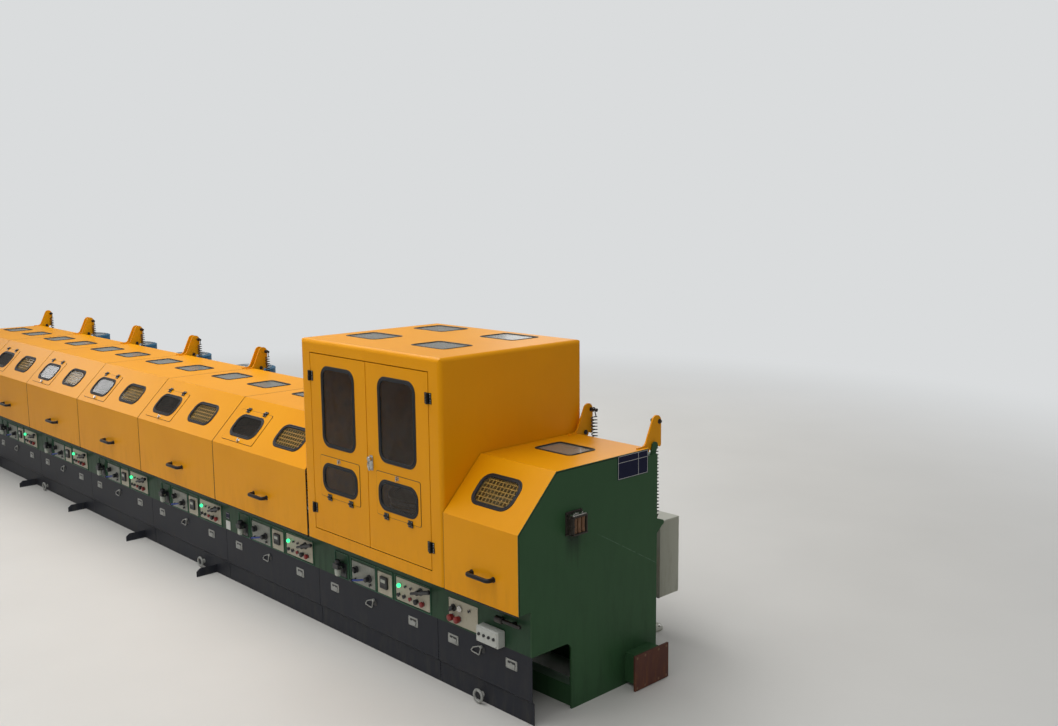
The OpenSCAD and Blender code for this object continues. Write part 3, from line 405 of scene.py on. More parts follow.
def harvest(tree, geometry, finish):
    """Ends a node tree with real geometry in its finish."""
    solid = geo(tree, "RealizeInstances", {0: geometry})
    dressed = geo(tree, "SetMaterial", {"Geometry": solid, "Material": finish})
    add(tree, "NodeGroupOutput", {0: dressed})


def geo(tree, kind, inputs=None, **settings):
    return add(tree, "GeometryNode" + kind, inputs, **settings)


def spread(tree, points, instance, **more):
    return geo(tree, "InstanceOnPoints", {"Points": points, "Instance": instance, **more})


def handled(name, first, second, pattern, detail=5.0, rough=0.5, grain=None, coarse=0.5, **more):
    """A finish whose colour and shine follow one pattern: a noise of that scale, or what the
    given function draws. Its grain is (noise scale, or 0 for the pattern; strength; depth)."""
    m, tree, shader, place = material(name)
    worn = pattern(tree, place) if callable(pattern) else noise(tree, place, pattern, detail, Roughness=coarse)
    feed(tree, shader, {"Base Color": blend(tree, worn, first, second)})
    if grain:
        fine = noise(tree, place, grain[0]) if grain[0] else worn
        feed(tree, shader, {"Normal": bump(tree, fine, *grain[1:])})
    for key, value in {"Roughness": rough, **more}.items():
        value = remap(tree, worn, *value) if isinstance(value, tuple) else value
        feed(tree, shader, {key.replace("_", " "): value})
    return m


# extruded EPDM: dull, nearly black, greyed by dust on its rounded lips
rubber = handled("black_epdm_rubber", "#121315", "#232427", 38.0, 6.0, 0.5, (900.0, 0.5, 0.0001),
                 Specular_IOR_Level=0.35)
# cast acrylic, smoked brown: the dark inside shows through it, and it mirrors the hall
smoked = handled("smoked_acrylic_pane", "#1A150E", "#332B20", 9.0, 7.0, (0.01, 0.08), (5.0, 1.0, 0.0012), 0.6,
                 Alpha=(0.3, 0.48, 0.3, 0.7))
# clear acrylic, faintly amber, over the perforated sheet
clear = handled("clear_acrylic_pane", "#6B5E42", "#8E8160", 12.0, 7.0, (0.02, 0.1), Alpha=(0.05, 0.2, 0.3, 0.7))

# opal acrylic of the roof: milky grey-beige with the holes of the sheet under it just showing
opal, tree, shader, place = material("opal_acrylic_pane")
holes = add(tree, "ShaderNodeTexBrick", {
    "Vector": place, "Scale": 36.0, "Mortar Size": 0.12, "Mortar Smooth": 0.6, "Brick Width": 1.0,
    "Row Height": 1.0, "Color1": srgb("#84867E"), "Color2": srgb("#8B8C83"), "Mortar": srgb("#939182")},
    offset=0.0, squash=1.0)
dust = noise(tree, place, 7.0, 6.0)
feed(tree, shader, {"Base Color": blend(tree, remap(tree, dust, 0.25, 0.7), holes, "#888780"),
                    "Roughness": remap(tree, dust, 0.16, 0.34), "Coat Weight": 0.3, "Coat Roughness": 0.08,
                    "Alpha": 0.78})

# 1.5 mm sheet punched with 21 mm squares on a 28 mm pitch, sprayed yellow on both sides: a
# grid of nine faces without its middle is pushed out to the hole and the pitch, and repeated
punched = enamel("yellow_enamel_on_punched_sheet", "#BF9440", "#A57E34", "#5C4A28", rough=0.42, dust=0.6, low=0.0,
                 high=3.0)
tree, sizes = growth("punched_sheet", Pitch=28.0, Hole=21.0, Across=10, Up=4, Thickness=1.5)


def vector(tree, operation, *values):
    return add(tree, "ShaderNodeVectorMath", dict(enumerate(values)), operation=operation)


pitch, hole = sizes["Pitch"], sizes["Hole"]
cell = geo(tree, "MeshGrid", {"Size X": pitch, "Size Y": pitch, "Vertices X": 4, "Vertices Y": 4})
middle = add(tree, "FunctionNodeCompare", {2: geo(tree, "InputIndex"), 3: 4}, data_type="INT",
             operation="EQUAL")
ring = geo(tree, "DeleteGeometry", {0: cell, 1: middle}, domain="FACE")
corner = geo(tree, "InputPosition")
away = vector(tree, "ABSOLUTE", corner)
outer = vector(tree, "SIGN", vector(tree, "SUBTRACT", away, calc(tree, "DIVIDE", pitch, 3.0)))
rim = calc(tree, "MULTIPLY", hole, 0.5)
bar = calc(tree, "SUBTRACT", calc(tree, "MULTIPLY", pitch, 0.5), rim)
grow = add(tree, "ShaderNodeVectorMath", {0: vector(tree, "MAXIMUM", outer, (0, 0, 0)), "Scale": bar},
           operation="SCALE")
moved = vector(tree, "MULTIPLY", vector(tree, "SIGN", corner), vector(tree, "ADD", grow, rim))
ring = geo(tree, "SetPosition", {"Geometry": ring, "Position": moved})
wide, tall = (calc(tree, "MULTIPLY", calc(tree, "ADD", sizes[way], -1.0), pitch) for way in ("Across", "Up"))
field = geo(tree, "MeshGrid", {"Size X": wide, "Size Y": tall, "Vertices X": sizes["Across"],
                                           "Vertices Y": sizes["Up"]})
flat = geo(tree, "RealizeInstances", {0: spread(tree, field, ring)})
flat = geo(tree, "MergeByDistance", {"Geometry": flat, "Distance": 0.01})
thick = geo(tree, "ExtrudeMesh", {"Mesh": flat, "Offset Scale": sizes["Thickness"], "Individual": False})
both = joined(tree, geo(tree, "FlipFaces", {0: flat}), thick)
harvest(tree, geo(tree, "MergeByDistance", {"Geometry": both, "Distance": 0.01}), punched)
punched_sheet = tree

LIP = [(-11, -2), (-11.6, 0.6), (-9.5, 3.4), (-5, 4.4), (-1.6, 3.3), (-0.6, 2.2), (0.6, 2.2), (1.6, 3.3), (6, 4.6),
       (11, 3.2), (13, 0.6), (13, -0.2), (0, -0.4), (-1, -2)]
NARROW_LIP, SHEET, SHEET_AND_FLAP = 0.62, 4.0, 7.0


def gasket(piece, w, h, r, at, narrow=1.0, through=SHEET):
    """Rubber lip round a cut-out of the given size, and the same lip on the inner face of the sheet."""
    if through:
        gasket(piece, w, h, r, at @ move(0, 0, -through) @ turn("X", math.pi), narrow, 0.0)
    outline = rounded(w, h, r, 9)
    rings = []
    for i, (x, y) in enumerate(outline):
        t = (Vector(outline[(i + 1) % len(outline)]) - Vector(outline[i - 1])).normalized()
        rings.append([(x + t.y * p * narrow, y - t.x * p * narrow, z) for p, z in LIP])
    piece.loops(rings, at, closed=True)


def pane(piece, w, h, r, at, narrow=1.0, finish=0):
    piece.slab(rounded(w - 16 * narrow, h - 16 * narrow, max(r - 8 * narrow, 4), 9), -5.5, -1.5, at, finish, 0.6)


low_bays = [CAB_L - BAY * (k - 0.5) for k in range(1, 7)]
openings = {hood: dict(
    dark=[(on_slope(mid - 328, SLOPE_L / 2 - 26, 3), 330, 165, 60)],
    clear=[(on_slope(mid + 250, SLOPE_L / 2 - 15), 330, 165, 60)],
    opal=[(spot(x, ROOF_MID, ROOF_Z), 290, 230, 28) for x in (mid - 328, mid + 258)])
    for hood, mid in zip(hoods, low_bays)}
openings["end_hood"] = dict(dark=[], clear=[(on_slope(-317, SLOPE_L / 2), 305, 183, 60)],
                            opal=[(spot(-340, ROOF_MID, ROOF_Z), 290, 215, 28)])
for hood, parts in openings.items():
    seal = Piece(hood + "_seals", rubber)
    glass = Piece(hood + "_panes", smoked, opal)
    clear_glass = Piece(hood + "_clear_pane", clear)
    screen = Piece(hood + "_screen", punched)
    for kind, narrow, sheet in (("dark", 1.0, SHEET_AND_FLAP), ("clear", 1.0, SHEET), ("opal", NARROW_LIP, SHEET)):
        for at, w, h, r in parts[kind]:
            gasket(seal, w, h, r, at, narrow, sheet)
            pane(clear_glass if kind == "clear" else glass, w, h, r, at, narrow, int(kind == "opal"))
            if kind == "clear":
                screen.mesh(grown(punched_sheet, Across=12, Up=7), at @ move(0, 0, -14))
    seal.done("black_rubber", hood + "_trim", body=hood)
    glass.done("black_rubber", body=hood)
    clear_glass.done("black_rubber", body=hood)
    screen.done("yellow_paint", body=hood)

# round black rubber seal glued into the joint beside each hood and along its lower edge:
# thin in the joints at the cabinet, thicker between two hoods; the cords are thicker than a seal, so they are partly
# a painted shade line for the shade in the joints and under the hood's lower edge
ends = {hood: (CAB_L - BAY * k, CAB_L - BAY * (k - 1)) for k, hood in enumerate(hoods[:6], 1)}
ends["end_hood"] = (CAB_R, 0)
THIN, THICK = (2.5, 3.5), (6.6, 5)
joint_seal_and_shade_cords = {hood: [(x0 + 2, THICK)] for hood, (x0, x1) in ends.items()}
joint_seal_and_shade_cords["hood_1"].append((CAB_L - 2.6, THIN))
joint_seal_and_shade_cords["end_hood"] = [(CAB_R + 2.6, THIN)]
joint_seal_and_shade_cords["hood_6"] = []
for hood in ("end_hood", *hoods[:6]):
    x0, x1 = ends[hood]
    edging = Piece(hood + "_seal_and_shade_lines", rubber)
    for x, (r, y) in joint_seal_and_shade_cords[hood]:
        edging.tube([(x, y, 648), (x, y, SLOPE_Z - 3), (x, SLOPE_RUN + 3, ROOF_Z - 1 - y), (x, 1080, ROOF_Z - 1 - y)],
                    r, MACHINE, n=8)
    # thick black cord along the lower edge: partly a seal, partly a painted shade line where the hood's edge shades
    # the strip below
    edging.tube([(x0 + 8, 7, 639), (x1 - (14 if hood == "end_hood" else 8), 7, 639)], 7, MACHINE, n=10)
    edging.done("black_rubber", body=hood)

seal = Piece("cabinet_roof_seals", rubber)
glass = Piece("cabinet_roof_panes", opal)
for x in (-1718, -1038):
    for y in (367, 915):
        gasket(seal, 310, 230, 28, spot(x, y, CABINET_Z - 1.6), NARROW_LIP)
        pane(glass, 310, 230, 28, spot(x, y, CABINET_Z), NARROW_LIP)
seal.done("black_rubber", "cabinet_windows")
glass.done("black_rubber")
doors = {"door_left": -1607.5, "door_right": -1012.5}
for door, x in doors.items():
    seal = Piece(door + "_seals", rubber)
    glass = Piece(door + "_panes", smoked)
    for at, w, h, r, deep in ((on_front(x, 1537), 335, 490, 60, SHEET),
                              (on_front(x, 1084, 3), 355, 165, 60, SHEET_AND_FLAP)):
        gasket(seal, w, h, r, at, 1.0, deep)
        pane(glass, w, h, r, at)
    seal.done("black_rubber", door + "_trim", body=door)
    glass.done("black_rubber", body=door)


# Pull handles, flap hinges and latches.
# Bent 25 mm bar handles and small cast hinges in black powder coat, screwed on with domed
# screws; the small turn latches that hold the flaps shut are chrome plated.
black = handled("black_powder_coat", "#0E0F10", "#1B1C1E", 26.0, 6.0, (0.3, 0.5), (700.0, 0.7, 0.0002),
                Specular_IOR_Level=0.3)
plated = handled("bright_plated_steel", "#D2D2CF", "#9A978F", 60.0, rough=(0.12, 0.38), Metallic=1.0)
DOME = [(6.5, 0), (6.5, 1.0), (5.2, 2.8), (2.8, 3.8), (0, 4.1)]
HANDLE_Z, DOOR_FLAP_Z, DOOR_HINGE_Z = 800, 1088, (860, 1718)


def screw(piece, at, x, y, z, size=0.5, n=10):
    piece.lathe(DOME, at @ move(x, y, z) @ Matrix.Scale(size, 4), n=n)


def pull_handle(piece, screws, at, length=200, off=42.5, r=12.5, bend=20):
    """Bar bent at both ends, with its round feet and a screw beside each."""
    half = length / 2 - r
    path = [(-half, 0, 0), (-half, 0, off - bend)]
    path += [(-half + bend - x, 0, off - bend + z) for x, z in wheel(bend, 18, 18, 91)]
    piece.tube(path + [(-x, y, z) for x, y, z in reversed(path)], r, at, n=14)
    for s in (-1, 1):
        piece.lathe([(16, 0), (16, 3.5), (13, 6)], at @ move(s * half, 0))
        screw(screws, at, s * (half + 13), 0, 1, 0.6, 12)


def hang_flap(piece, screws, at, hinge_y, latch_x, latch_y, turned=0.0):
    """Two small hinges of two leaves and a knuckle, and the turn latch across from them."""
    for hinge in (at @ move(x, hinge_y, 3) for x in (-115, 115)):
        for y in (-11, 11):
            piece.block((-22, y - 9.5, 0), (22, y + 9.5, 4.5), hinge, edge=1.2)
            for x in (-14, 14):
                screw(screws, hinge, x, y * 1.1, 4)
        for x in (-22, -7, 8):
            piece.lathe([(0, 0), (5.4, 0.6), (6, 1.5), (6, 12.5), (5.4, 14)], hinge @ move(x, 0, 6) @ TO_X, n=16)
    latch = at @ move(latch_x, latch_y, 3)
    screws.lathe([(13, 0), (13, 2.5), (10.5, 4), (10.5, 8), (9, 9.5)], latch)
    screws.block((-4, -15, 9), (4, 15, 16), latch @ turn("Z", turned), edge=1.4)


# black rubber cord under each flap, a painted shade line: it shows round the flap's edge as the thin dark line of the
# shade gap under the flap
flaps = {hood: on_slope(mid + FLAP_X, FLAP_S) for hood, mid in zip(hoods, low_bays)}
flaps.update((door, on_front(x, DOOR_FLAP_Z)) for door, x in doors.items())
for carrier, at in flaps.items():
    strip = Piece(carrier + "_flap_shade_line", rubber)
    strip.tube([(x, y, 0.6) for x, y in rounded(422, 264, 12, 4)], 1.9, at, n=6, closed=True)
    strip.done("black_rubber", body=carrier)

for hood, x in zip(hoods, [mid + 32 for mid in low_bays] + [-280]):
    grip, screws = Piece(hood + "_handle", black), Piece(hood + "_screws", plated)
    pull_handle(grip, screws, on_front(x, HANDLE_Z))
    if hood in flaps:
        hang_flap(grip, screws, flaps[hood], 129, 18, -118, 0.5)
    grip.done("black_plastic", body=hood)
    screws.done("chrome", body=hood)

coat(black, "cabinet_hinges")
leaves, leaf_screws = Piece("hinge_frame_leaves", black), Piece("hinge_screws", plated)
for door, s, edge in (("door_left", -1, -1905), ("door_right", 1, -715)):
    grip, screws = Piece(door + "_hinges", black), Piece(door + "_screws", plated)
    hang_flap(grip, screws, flaps[door], -131, 0, 118)
    for z in DOOR_HINGE_Z:
        at = on_front(edge, z)
        grip.lathe([(7.4, 0), (8, 0.6), (8, 30.4), (7.4, 31)], spot(edge, -10, z + 0.3), n=18)
        grip.block((-s * 3, -31.5, 0.2), (-s * 31, 31.5, 3.4), at, edge=0.8)
        grip.block((0, 0.8, 2.5), (-s * 9, 31.5, 9), at, edge=0.8)
        leaves.block((s * 3, 0.4, 0.2), (s * 28, 31.5, 3.4), at, edge=0.8)
        for y in (-23, -9, 9, 23):
            screw(screws, at, -s * 20, y, 3.2, 0.55)
            screw(leaf_screws, at, s * 20, y, 3, 0.55)
    grip.done("black_plastic", body=door)
    screws.done("chrome", body=door)
leaf_screws.done("chrome")
leaves.done("black_plastic")
# espagnolette handle on its backplate, by the edge of the right-hand door
grip = Piece("door_lever", plated)
at = on_front(-1270, 1258)
grip.slab(rounded(38, 92, 13, 6), 0, 6, at, edge=1.5)
grip.lathe([(14, 5), (14, 14), (16, 15), (16, 23), (13, 26)], at @ move(0, 26), n=30)
grip.loops([[(u * (8.5 - 0.35 * abs(i - 4)), 26 - 8 * i, 18 + 9 * math.sin(math.pi * i / 9) + v * 5)
             for u, v in wheel(1, 30)] for i in range(10)], at)
for y in (-39, 39):
    screw(grip, at, 0, y, 6, 0.6, 12)
grip.done("chrome", "door_lock", body="door_right")


# Lever bolts and counterbalance springs.
# Each lever plate turns on a 24 mm pin and pulls a pair of close-wound springs through a
# 16 mm stud; nuts and washers are black-oxide steel, the springs oiled music wire.
oiled = handled("oiled_black_steel", "#2B2B2C", "#565350", 55.0, 6.0, (0.22, 0.5), Metallic=0.85)
# radii of coil, wire and eye, and how far the coil stands from the eye
COIL, WIRE, EYE, TAIL = 17.5, 3.4, 11.8, 42


def swept(tree, curve, radius, sides, caps=False):
    """Round wire of the given radius along a curve."""
    wire = geo(tree, "CurvePrimitiveCircle", {"Resolution": sides, "Radius": radius})
    return geo(tree, "CurveToMesh", {"Curve": curve, "Profile Curve": wire, "Fill Caps": caps})


wound_spring, sizes = growth("wound_spring", Turns=20.0, Radius=COIL, Wire=WIRE, Length=480.0)
path = geo(wound_spring, "CurveSpiral", {
    "Resolution": 18, "Rotations": sizes["Turns"], "Start Radius": sizes["Radius"], "End Radius": sizes["Radius"],
    "Height": sizes["Length"]})
harvest(wound_spring, swept(wound_spring, path, sizes["Wire"], 7, True), oiled)


def hex_bolt(piece, at, across=19.0, finish=0):
    """Washer and hexagon head."""
    at = at @ Matrix.Scale(across / 19.0, 4)
    piece.lathe([(15, 0), (15, 2), (14, 2.6)], at, finish, 20)
    piece.slab(wheel(11, 60), 2.4, 12, at, finish, 1.0)


# the (y, z) of spring anchor, spring stud and lever pin; the stud swings about the pin
ANCHOR, STUD, PIN = (Vector((0, *place)) for place in ((1190, 900), (1172, 1512), (1120, 1375)))
LIFT = math.radians(63)
along = STUD - ANCHOR
lean = math.atan2(-along.y, along.z)
travel = Matrix.Rotation(-LIFT, 3, "X") @ (STUD - PIN) - (STUD - PIN)
push = travel.normalized()
pins = Piece("pin_ends", oiled)
for hood, (x0, x1) in ends.items():
    name = "springs_" + ("end" if hood == "end_hood" else hood[-1])
    spring = Piece(name + "_wound", oiled)
    for x in (x0 + 62, x1 - 62):
        at = spot(x, *ANCHOR.yz) @ turn("X", lean)
        spring.mesh(grown(wound_spring, Turns=26.0, Length=along.length - 2 * TAIL), at @ move(0, 0, TAIL))
        for z, way in ((0, 1), (along.length, -1)):
            # the eye is a little longer the way the spring is pushed together
            ring = [Vector((0, v, -way * u)) for u, v in wheel(EYE, 20, -150, 151)]
            hook = [tuple(p + push * (0.32 * p.dot(push)) + Vector((0, 0, z))) for p in reversed(ring)]
            spring.tube([(COIL, 0, z + way * TAIL), (9, 5, z + way * 34), (2, 9, z + way * 22)] + hook, WIRE, at, n=7)
    spring.done("spring_steel", name)
    base = MACHINE @ Vector((x0, *ANCHOR.yz))
    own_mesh(bpy.data.objects[name + "_wound"])
    studs = Piece(hood + "_studs", oiled)
    for x, s in ((x0, 1), (x1, -1)):
        aim = turn("Y", QUARTER * s)
        studs.lathe([(13, -1), (13, 5), (9, 5.2), (8, 6), (8, 47), (11, 47.4), (11, 50), (7, 52)],
                    spot(x + s * 36, *STUD.yz) @ aim)
        hex_bolt(studs, spot(x + s * 26, *STUD.yz) @ aim.inverted())
        pins.lathe([(12, -1), (15, 0.4), (15, 4), (10, 4.6), (10, 8), (0, 9)], spot(x + s * 40, *PIN.yz) @ aim)
        pins.lathe([(12, 0), (12, 2.5), (9, 3), (9, 8), (0, 9)], spot(x + s * 76, *ANCHOR.yz) @ aim)
    studs.done("black_plastic", body=hood)
pins.done("black_plastic")


# Control strip.
# Cream enamelled plates screwed to the green strip, the same row on every bay: an air
# regulator, a valve plate with a blue lever, a meter and the button plate with its lamp.
cream, tree, shader, place = material("cream_enamel_on_aluminium")
grime = noise(tree, place, 75.0, 7.0)
tone = blend(tree, noise(tree, place, 9.0, 5.0), "#B6B09C", "#A39D89")
feed(tree, shader, {"Base Color": blend(tree, remap(tree, grime, 0.0, 0.45, 0.58, 0.75), tone, "#6E6754"),
                    "Roughness": 0.42, "Normal": bump(tree, grime, 0.3, 0.0002)})


def moulded(name, first, second, rough=0.35, scale=40.0):
    return handled(name, first, second, scale, rough=(rough - 0.1, rough + 0.15), grain=(0, 0.2, 0.0003))


black_abs = moulded("black_moulded_abs", "#17181A", "#26272A")
red_abs = moulded("red_moulded_abs", "#8E1F1C", "#6F1614")
blue_abs = moulded("blue_moulded_abs", "#27408E", "#1E3270")
grey_abs = moulded("grey_moulded_abs", "#C3C5BF", "#ADAFA8")
bowl = moulded("milky_polycarbonate_bowl", "#B9BDB0", "#8E948A", 0.2)
lamp_green = moulded("green_lamp_lens", "#28E08A", "#1CC97A", 0.2)
tree = lamp_green.node_tree
feed(tree, tree.nodes["Principled BSDF"], {"Emission Color": srgb("#3CFF9A"), "Emission Strength": 1.6})
pale_green = enamel("pale_green_enamel_frames", "#426A54", "#3A5F4A", "#2A382F", rough=0.36, low=0.35, high=0.75,
                    dust=0.6)
worn_plate = handled("grey_worn_aluminium_plate", "#6E726A", "#9A9C93", 34.0, 8.0, (0.5, 0.3), coarse=0.65,
                     Metallic=0.35)

STRIP = 95
# across and up from the bay's left edge, and which of the two finishes
PLATES = ((359, 605, 400, 541, 1), (636, 780, 400, 539, 0), (825, 1149, 406, 550, 0))
SURROUNDS = ((346, 618), (624, 792), (812, 1162), (168, 322))
# across, up, finish, radius and height
BUTTONS = ((395, 425, 0, 9, 12), (560, 425, 0, 9, 12), (923, 509, 0, 8, 13), (976, 509, 0, 8, 13),
           (857, 443, 0, 12, 16), (910, 443, 0, 12, 16), (969, 443, 1, 12, 16), (1031, 443, 0, 16, 24),
           (1089, 443, 1, 16, 24))
END_BUTTONS = ((-500, 515, 0, 8, 13), (-650, 443, 1, 19, 34), (-592, 443, 1, 19, 34))
plates = Piece("control_plates_dressed", cream, worn_plate)
surrounds = Piece("strip_surrounds", pale_green)
dark = Piece("switches_and_valves", black_abs, red_abs, blue_abs)
lenses = Piece("signal_lamps", lamp_green, bowl)
metal = Piece("plate_screws", plated)


def on_strip(x, z, out=0):
    return on_front(x, z, out, STRIP)


def corners(x, y):
    return [(x, y), (-x, y), (-x, -y), (x, -y)]


def control_plate(x, z, w, h, finish=0):
    plates.slab(rounded(w, h, 4, 3), 0, 3, on_strip(x, z), finish)
    for sx, sy in corners(w / 2 - 9, h / 2 - 9):
        screw(metal, on_strip(x, z), sx, sy, 3)


def button(x, z, finish, r, tall):
    at = on_strip(x, z, 3)
    metal.lathe([(r + 2, 0), (r + 2, 3), (r, 4)], at, n=20)
    dark.lathe([(r - 3, 3), (r - 3, 8), (r + 1, 11), (r + 1, tall - 3), (r - 3, tall), (0, tall + 0.6)], at,
               finish, 20)


for origin in [CAB_L - BAY * k for k in range(7)]:
    for x0, x1, z0, z1, finish in PLATES:
        control_plate(origin + (x0 + x1) / 2, (z0 + z1) / 2, x1 - x0, z1 - z0, finish)
    for x0, x1 in SURROUNDS:
        w = (x1 - x0) / 2
        for a, b, c, d in ((-w, -80, w, -74), (-w, 84, w, 90), (-w, -76, 6 - w, 86), (w - 6, -76, w, 86)):
            surrounds.block((a, b, 0), (c, d, 5), on_strip(origin + (x0 + x1) / 2, 473), edge=1.0)
    # regulator: bracket, body, adjusting knob, bowl and two ports
    at = on_strip(origin + 245, 490)
    dark.block((-48, -88, 0), (50, 6, 4), at)
    dark.block((-30, -26, 0), (30, 10, 56), at, edge=4)
    dark.lathe([(17, 0), (19, 3), (19, 18), (16, 24)], at @ move(0, 9, 34) @ TO_Y, n=20)
    lenses.lathe([(0, 0), (14, 2), (21, 10), (22, 46), (18, 52)], at @ move(0, -76, 34) @ TO_Y, 1, 20)
    for s in (-1, 1):
        metal.lathe([(7, 0), (7, 12)], at @ move(s * 30, -8, 34) @ turn("Y", s * QUARTER), n=12)
    # valve plate: rotary knob, and a long blue lever with a black tip
    at = on_strip(origin + 410, 492, 3)
    dark.lathe([(22, 0), (22, 6), (14, 9), (14, 26), (11, 29)], at)
    dark.block((-5, -22, 12), (5, 20, 30), at @ turn("Z", 0.6), edge=2)
    at = on_strip(origin + 545, 462, 3)
    dark.lathe([(26, 0), (26, 5), (17, 9), (17, 34), (12, 38)], at)
    lever = at @ turn("Z", math.radians(193))
    dark.tube([(0, 0, 26), (30, 0, 30), (70, 0, 42), (118, 0, 50)], 6.5, lever, 2, 12)
    dark.lathe([(0, 0), (10, 2), (11, 20), (8, 30), (0, 32)], lever @ move(112, 0, 49) @ TO_X, n=16)
    # meter
    at = on_strip(origin + 708, 479, 3)
    dark.slab(rounded(72, 76, 6, 4), 0, 14, at, edge=2)
    dark.slab(rounded(58, 40, 3, 3), 13, 15, at @ move(0, 12), edge=0.5)
    lenses.slab(rounded(46, 20, 2, 3), 14.5, 15.6, at @ move(0, 12), 1, 0.3)
    for x in (-20, 0, 20):
        dark.lathe([(5, 13), (5, 16)], at @ move(x, -24), n=12)
    # button plate: the lamp, and a main switch with a long grip
    at = on_strip(origin + 867, 505, 3)
    metal.lathe([(17, 0), (17, 4), (14, 6)], at)
    lenses.lathe([(0, 5), (13, 5), (13, 15), (11, 20), (6, 23), (0, 24)], at)
    at = on_strip(origin + 1066, 512, 3)
    dark.lathe([(24, 0), (24, 6), (16, 10), (16, 36), (12, 40)], at)
    lever = at @ turn("Z", math.radians(17))
    dark.tube([(-56, 0, 32), (30, 0, 34), (84, 0, 36), (120, 0, 38)], 9, lever, n=12)
    dark.lathe([(0, 0), (11, 3), (13, 20), (12.5, 70), (13.5, 92), (9, 98), (0, 99)],
               lever @ move(34, 0, 34) @ turn("Y", QUARTER - 0.04), n=16)
    dark.lathe([(0, 0), (11, 2), (11.5, 16), (8, 20), (0, 21)], lever @ move(120, 0, 40) @ TO_X, n=16)
    for x, *rest in BUTTONS:
        button(origin + x, *rest)

# plate at the exit end, with its hanging pendant box and the parked drift rod beside it
control_plate(-558, 477, 252, 150)
at = on_strip(-640, 500, 3)
dark.lathe([(22, 0), (22, 5), (14, 9), (14, 26), (0, 28)], at)
dark.block((-6, -26, 12), (6, 24, 30), at @ turn("Z", -0.7), edge=2.5)
at = on_strip(-584, 506, 3)
metal.lathe([(14, 0), (21, 0), (21, 9), (18, 11), (14, 11)], at, n=28, solid=False)
plates.lathe([(14.5, 0), (14.5, 6)], at)
dark.block((-1.4, 0, 6), (1.4, 12, 7.6), at @ turn("Z", 0.5), edge=0.4)
for row in END_BUTTONS:
    button(*row)
pendant = Piece("pendant_box", grey_abs)
at = on_strip(-298, 437)
pendant.block((-90, -47, 0), (90, 47, 56), at, edge=5)
pendant.block((-84, -41, 55), (84, 41, 59), at, edge=2)
for x in (-60, -20, 20, 60):
    dark.lathe([(9, 58), (9, 66), (7, 68)], at @ move(x, 4), n=16)
for x, y in corners(78, 35):
    screw(metal, at, x, y, 59)
pendant.done("cream_paint")
rod = Piece("parked_rod", oiled)
rod.lathe([(17, 0), (19, 2), (19, 52), (17, 54), (11, 55), (11, 188), (8, 192)], spot(-245, 62, 553) @ TO_X)
for x in (-225, -120):
    rod.block((x - 8, 60, 545), (x + 8, 95, 561), MACHINE, edge=2)
rod.done("black_plastic")
plates.done("cream_paint", "control_plates")
surrounds.done("green_paint")
dark.done("black_plastic")
lenses.done("cream_paint")
metal.done("chrome")

# bare number and inspection cards between the first bays: navy above, white lacquer below
navy = handled("navy_enamel_on_plate", "#0C0F2C", "#141838", 30.0, rough=(0.22, 0.42), Specular_IOR_Level=0.12)
white = moulded("white_lacquered_card", "#D5D6D2", "#C2C3BE", 0.45)
cards = Piece("cards_between_bays", navy, white)
x = CAB_L - BAY + 2
for z, w, h, finish in ((501, 56, 50, 0), (428, 64, 66, 1)):
    cards.slab(rounded(w, h, 3, 3), 0, 1.6, on_strip(x, z), finish, 0.4)
for z in (484, 518):
    cards.slab(rounded(46, 1.6, 0.7, 3), 1.4, 2.1, on_strip(x, z), 1, 0.2)
cards.done("cream_paint")


# Skirt latches, hooks and eye bolts.
# Pressed and plated: two recessed paddle latches and a swivelling drop handle on each kick
# panel, and here and there a lifting eye left in the kick plate.
zinc = moulded("zinc_flake_coated_steel", "#A6A7A2", "#83847F", 0.35, 55.0)
catches = Piece("skirt_latches", zinc)
# black parts of the latches: their screws, the round base by each drop handle, and a painted shade slab in each
# paddle's recess
latch_shade_and_black_parts = Piece("skirt_latch_shade_and_black_parts", black_abs)


def paddle(x):
    at = on_strip(x, 305)
    catches.slab(rounded(91, 56, 5, 4), 0, 3, at, edge=1)
    # thin black slab over the middle of the paddle: painted shade standing in for the dark recess behind it
    latch_shade_and_black_parts.slab(rounded(62, 24, 5, 4), 2.4, 3.4, at @ move(2, 6), edge=0.3)
    catches.loops([[(x, -20, 3), (x, -21, 10), (x, -17, 12), (x, 3, 6), (x, 5, 3)] for x in (-29, -27, 27, 29)], at)
    catches.block((-8, 2, 3), (14, 9, 6), at @ turn("Z", -0.5), edge=1)
    for sx, sy in corners(40, 22):
        screw(latch_shade_and_black_parts, at, sx, sy, 3, 0.35, 8)


def drop_handle(x):
    at = on_strip(x, 308)
    latch_shade_and_black_parts.lathe([(22, 0), (22, 2), (18, 4)], at @ move(46, 12))
    ring = [(-47, -15, 7), (-44, -20, 7), (16, -26, 7), (22, -22, 7), (38, 22, 9), (22, 27, 9), (-30, 6, 8)]
    catches.tube(ring, 3.6, at, closed=True)
    catches.lathe([(9, 3), (9, 12), (7, 15)], at @ move(38, 27), n=14)


seams = [-790 - BAY * i for i in range(7)]
for x0, x1 in zip(seams + [-9510], [0] + seams):
    drop_handle((x0 + x1) / 2 - 45)
    paddle(x1 - (236 if x1 else 160))
    paddle(x0 + (183 if x1 else 138))
eyes = Piece("kick_plate_eyes", zinc)
for x in (-420, -3700, -6950):
    at = spot(x, 109, 44)
    eyes.tube([(u, -34, v) for v, u in wheel(34, 20)], 8, at, closed=True)
    eyes.lathe([(17, -3), (17, 3), (10, 5), (9, 12)], at @ TO_FRONT)
catches.done("chrome")
latch_shade_and_black_parts.done("black_plastic")
eyes.done("dark_grey_paint")


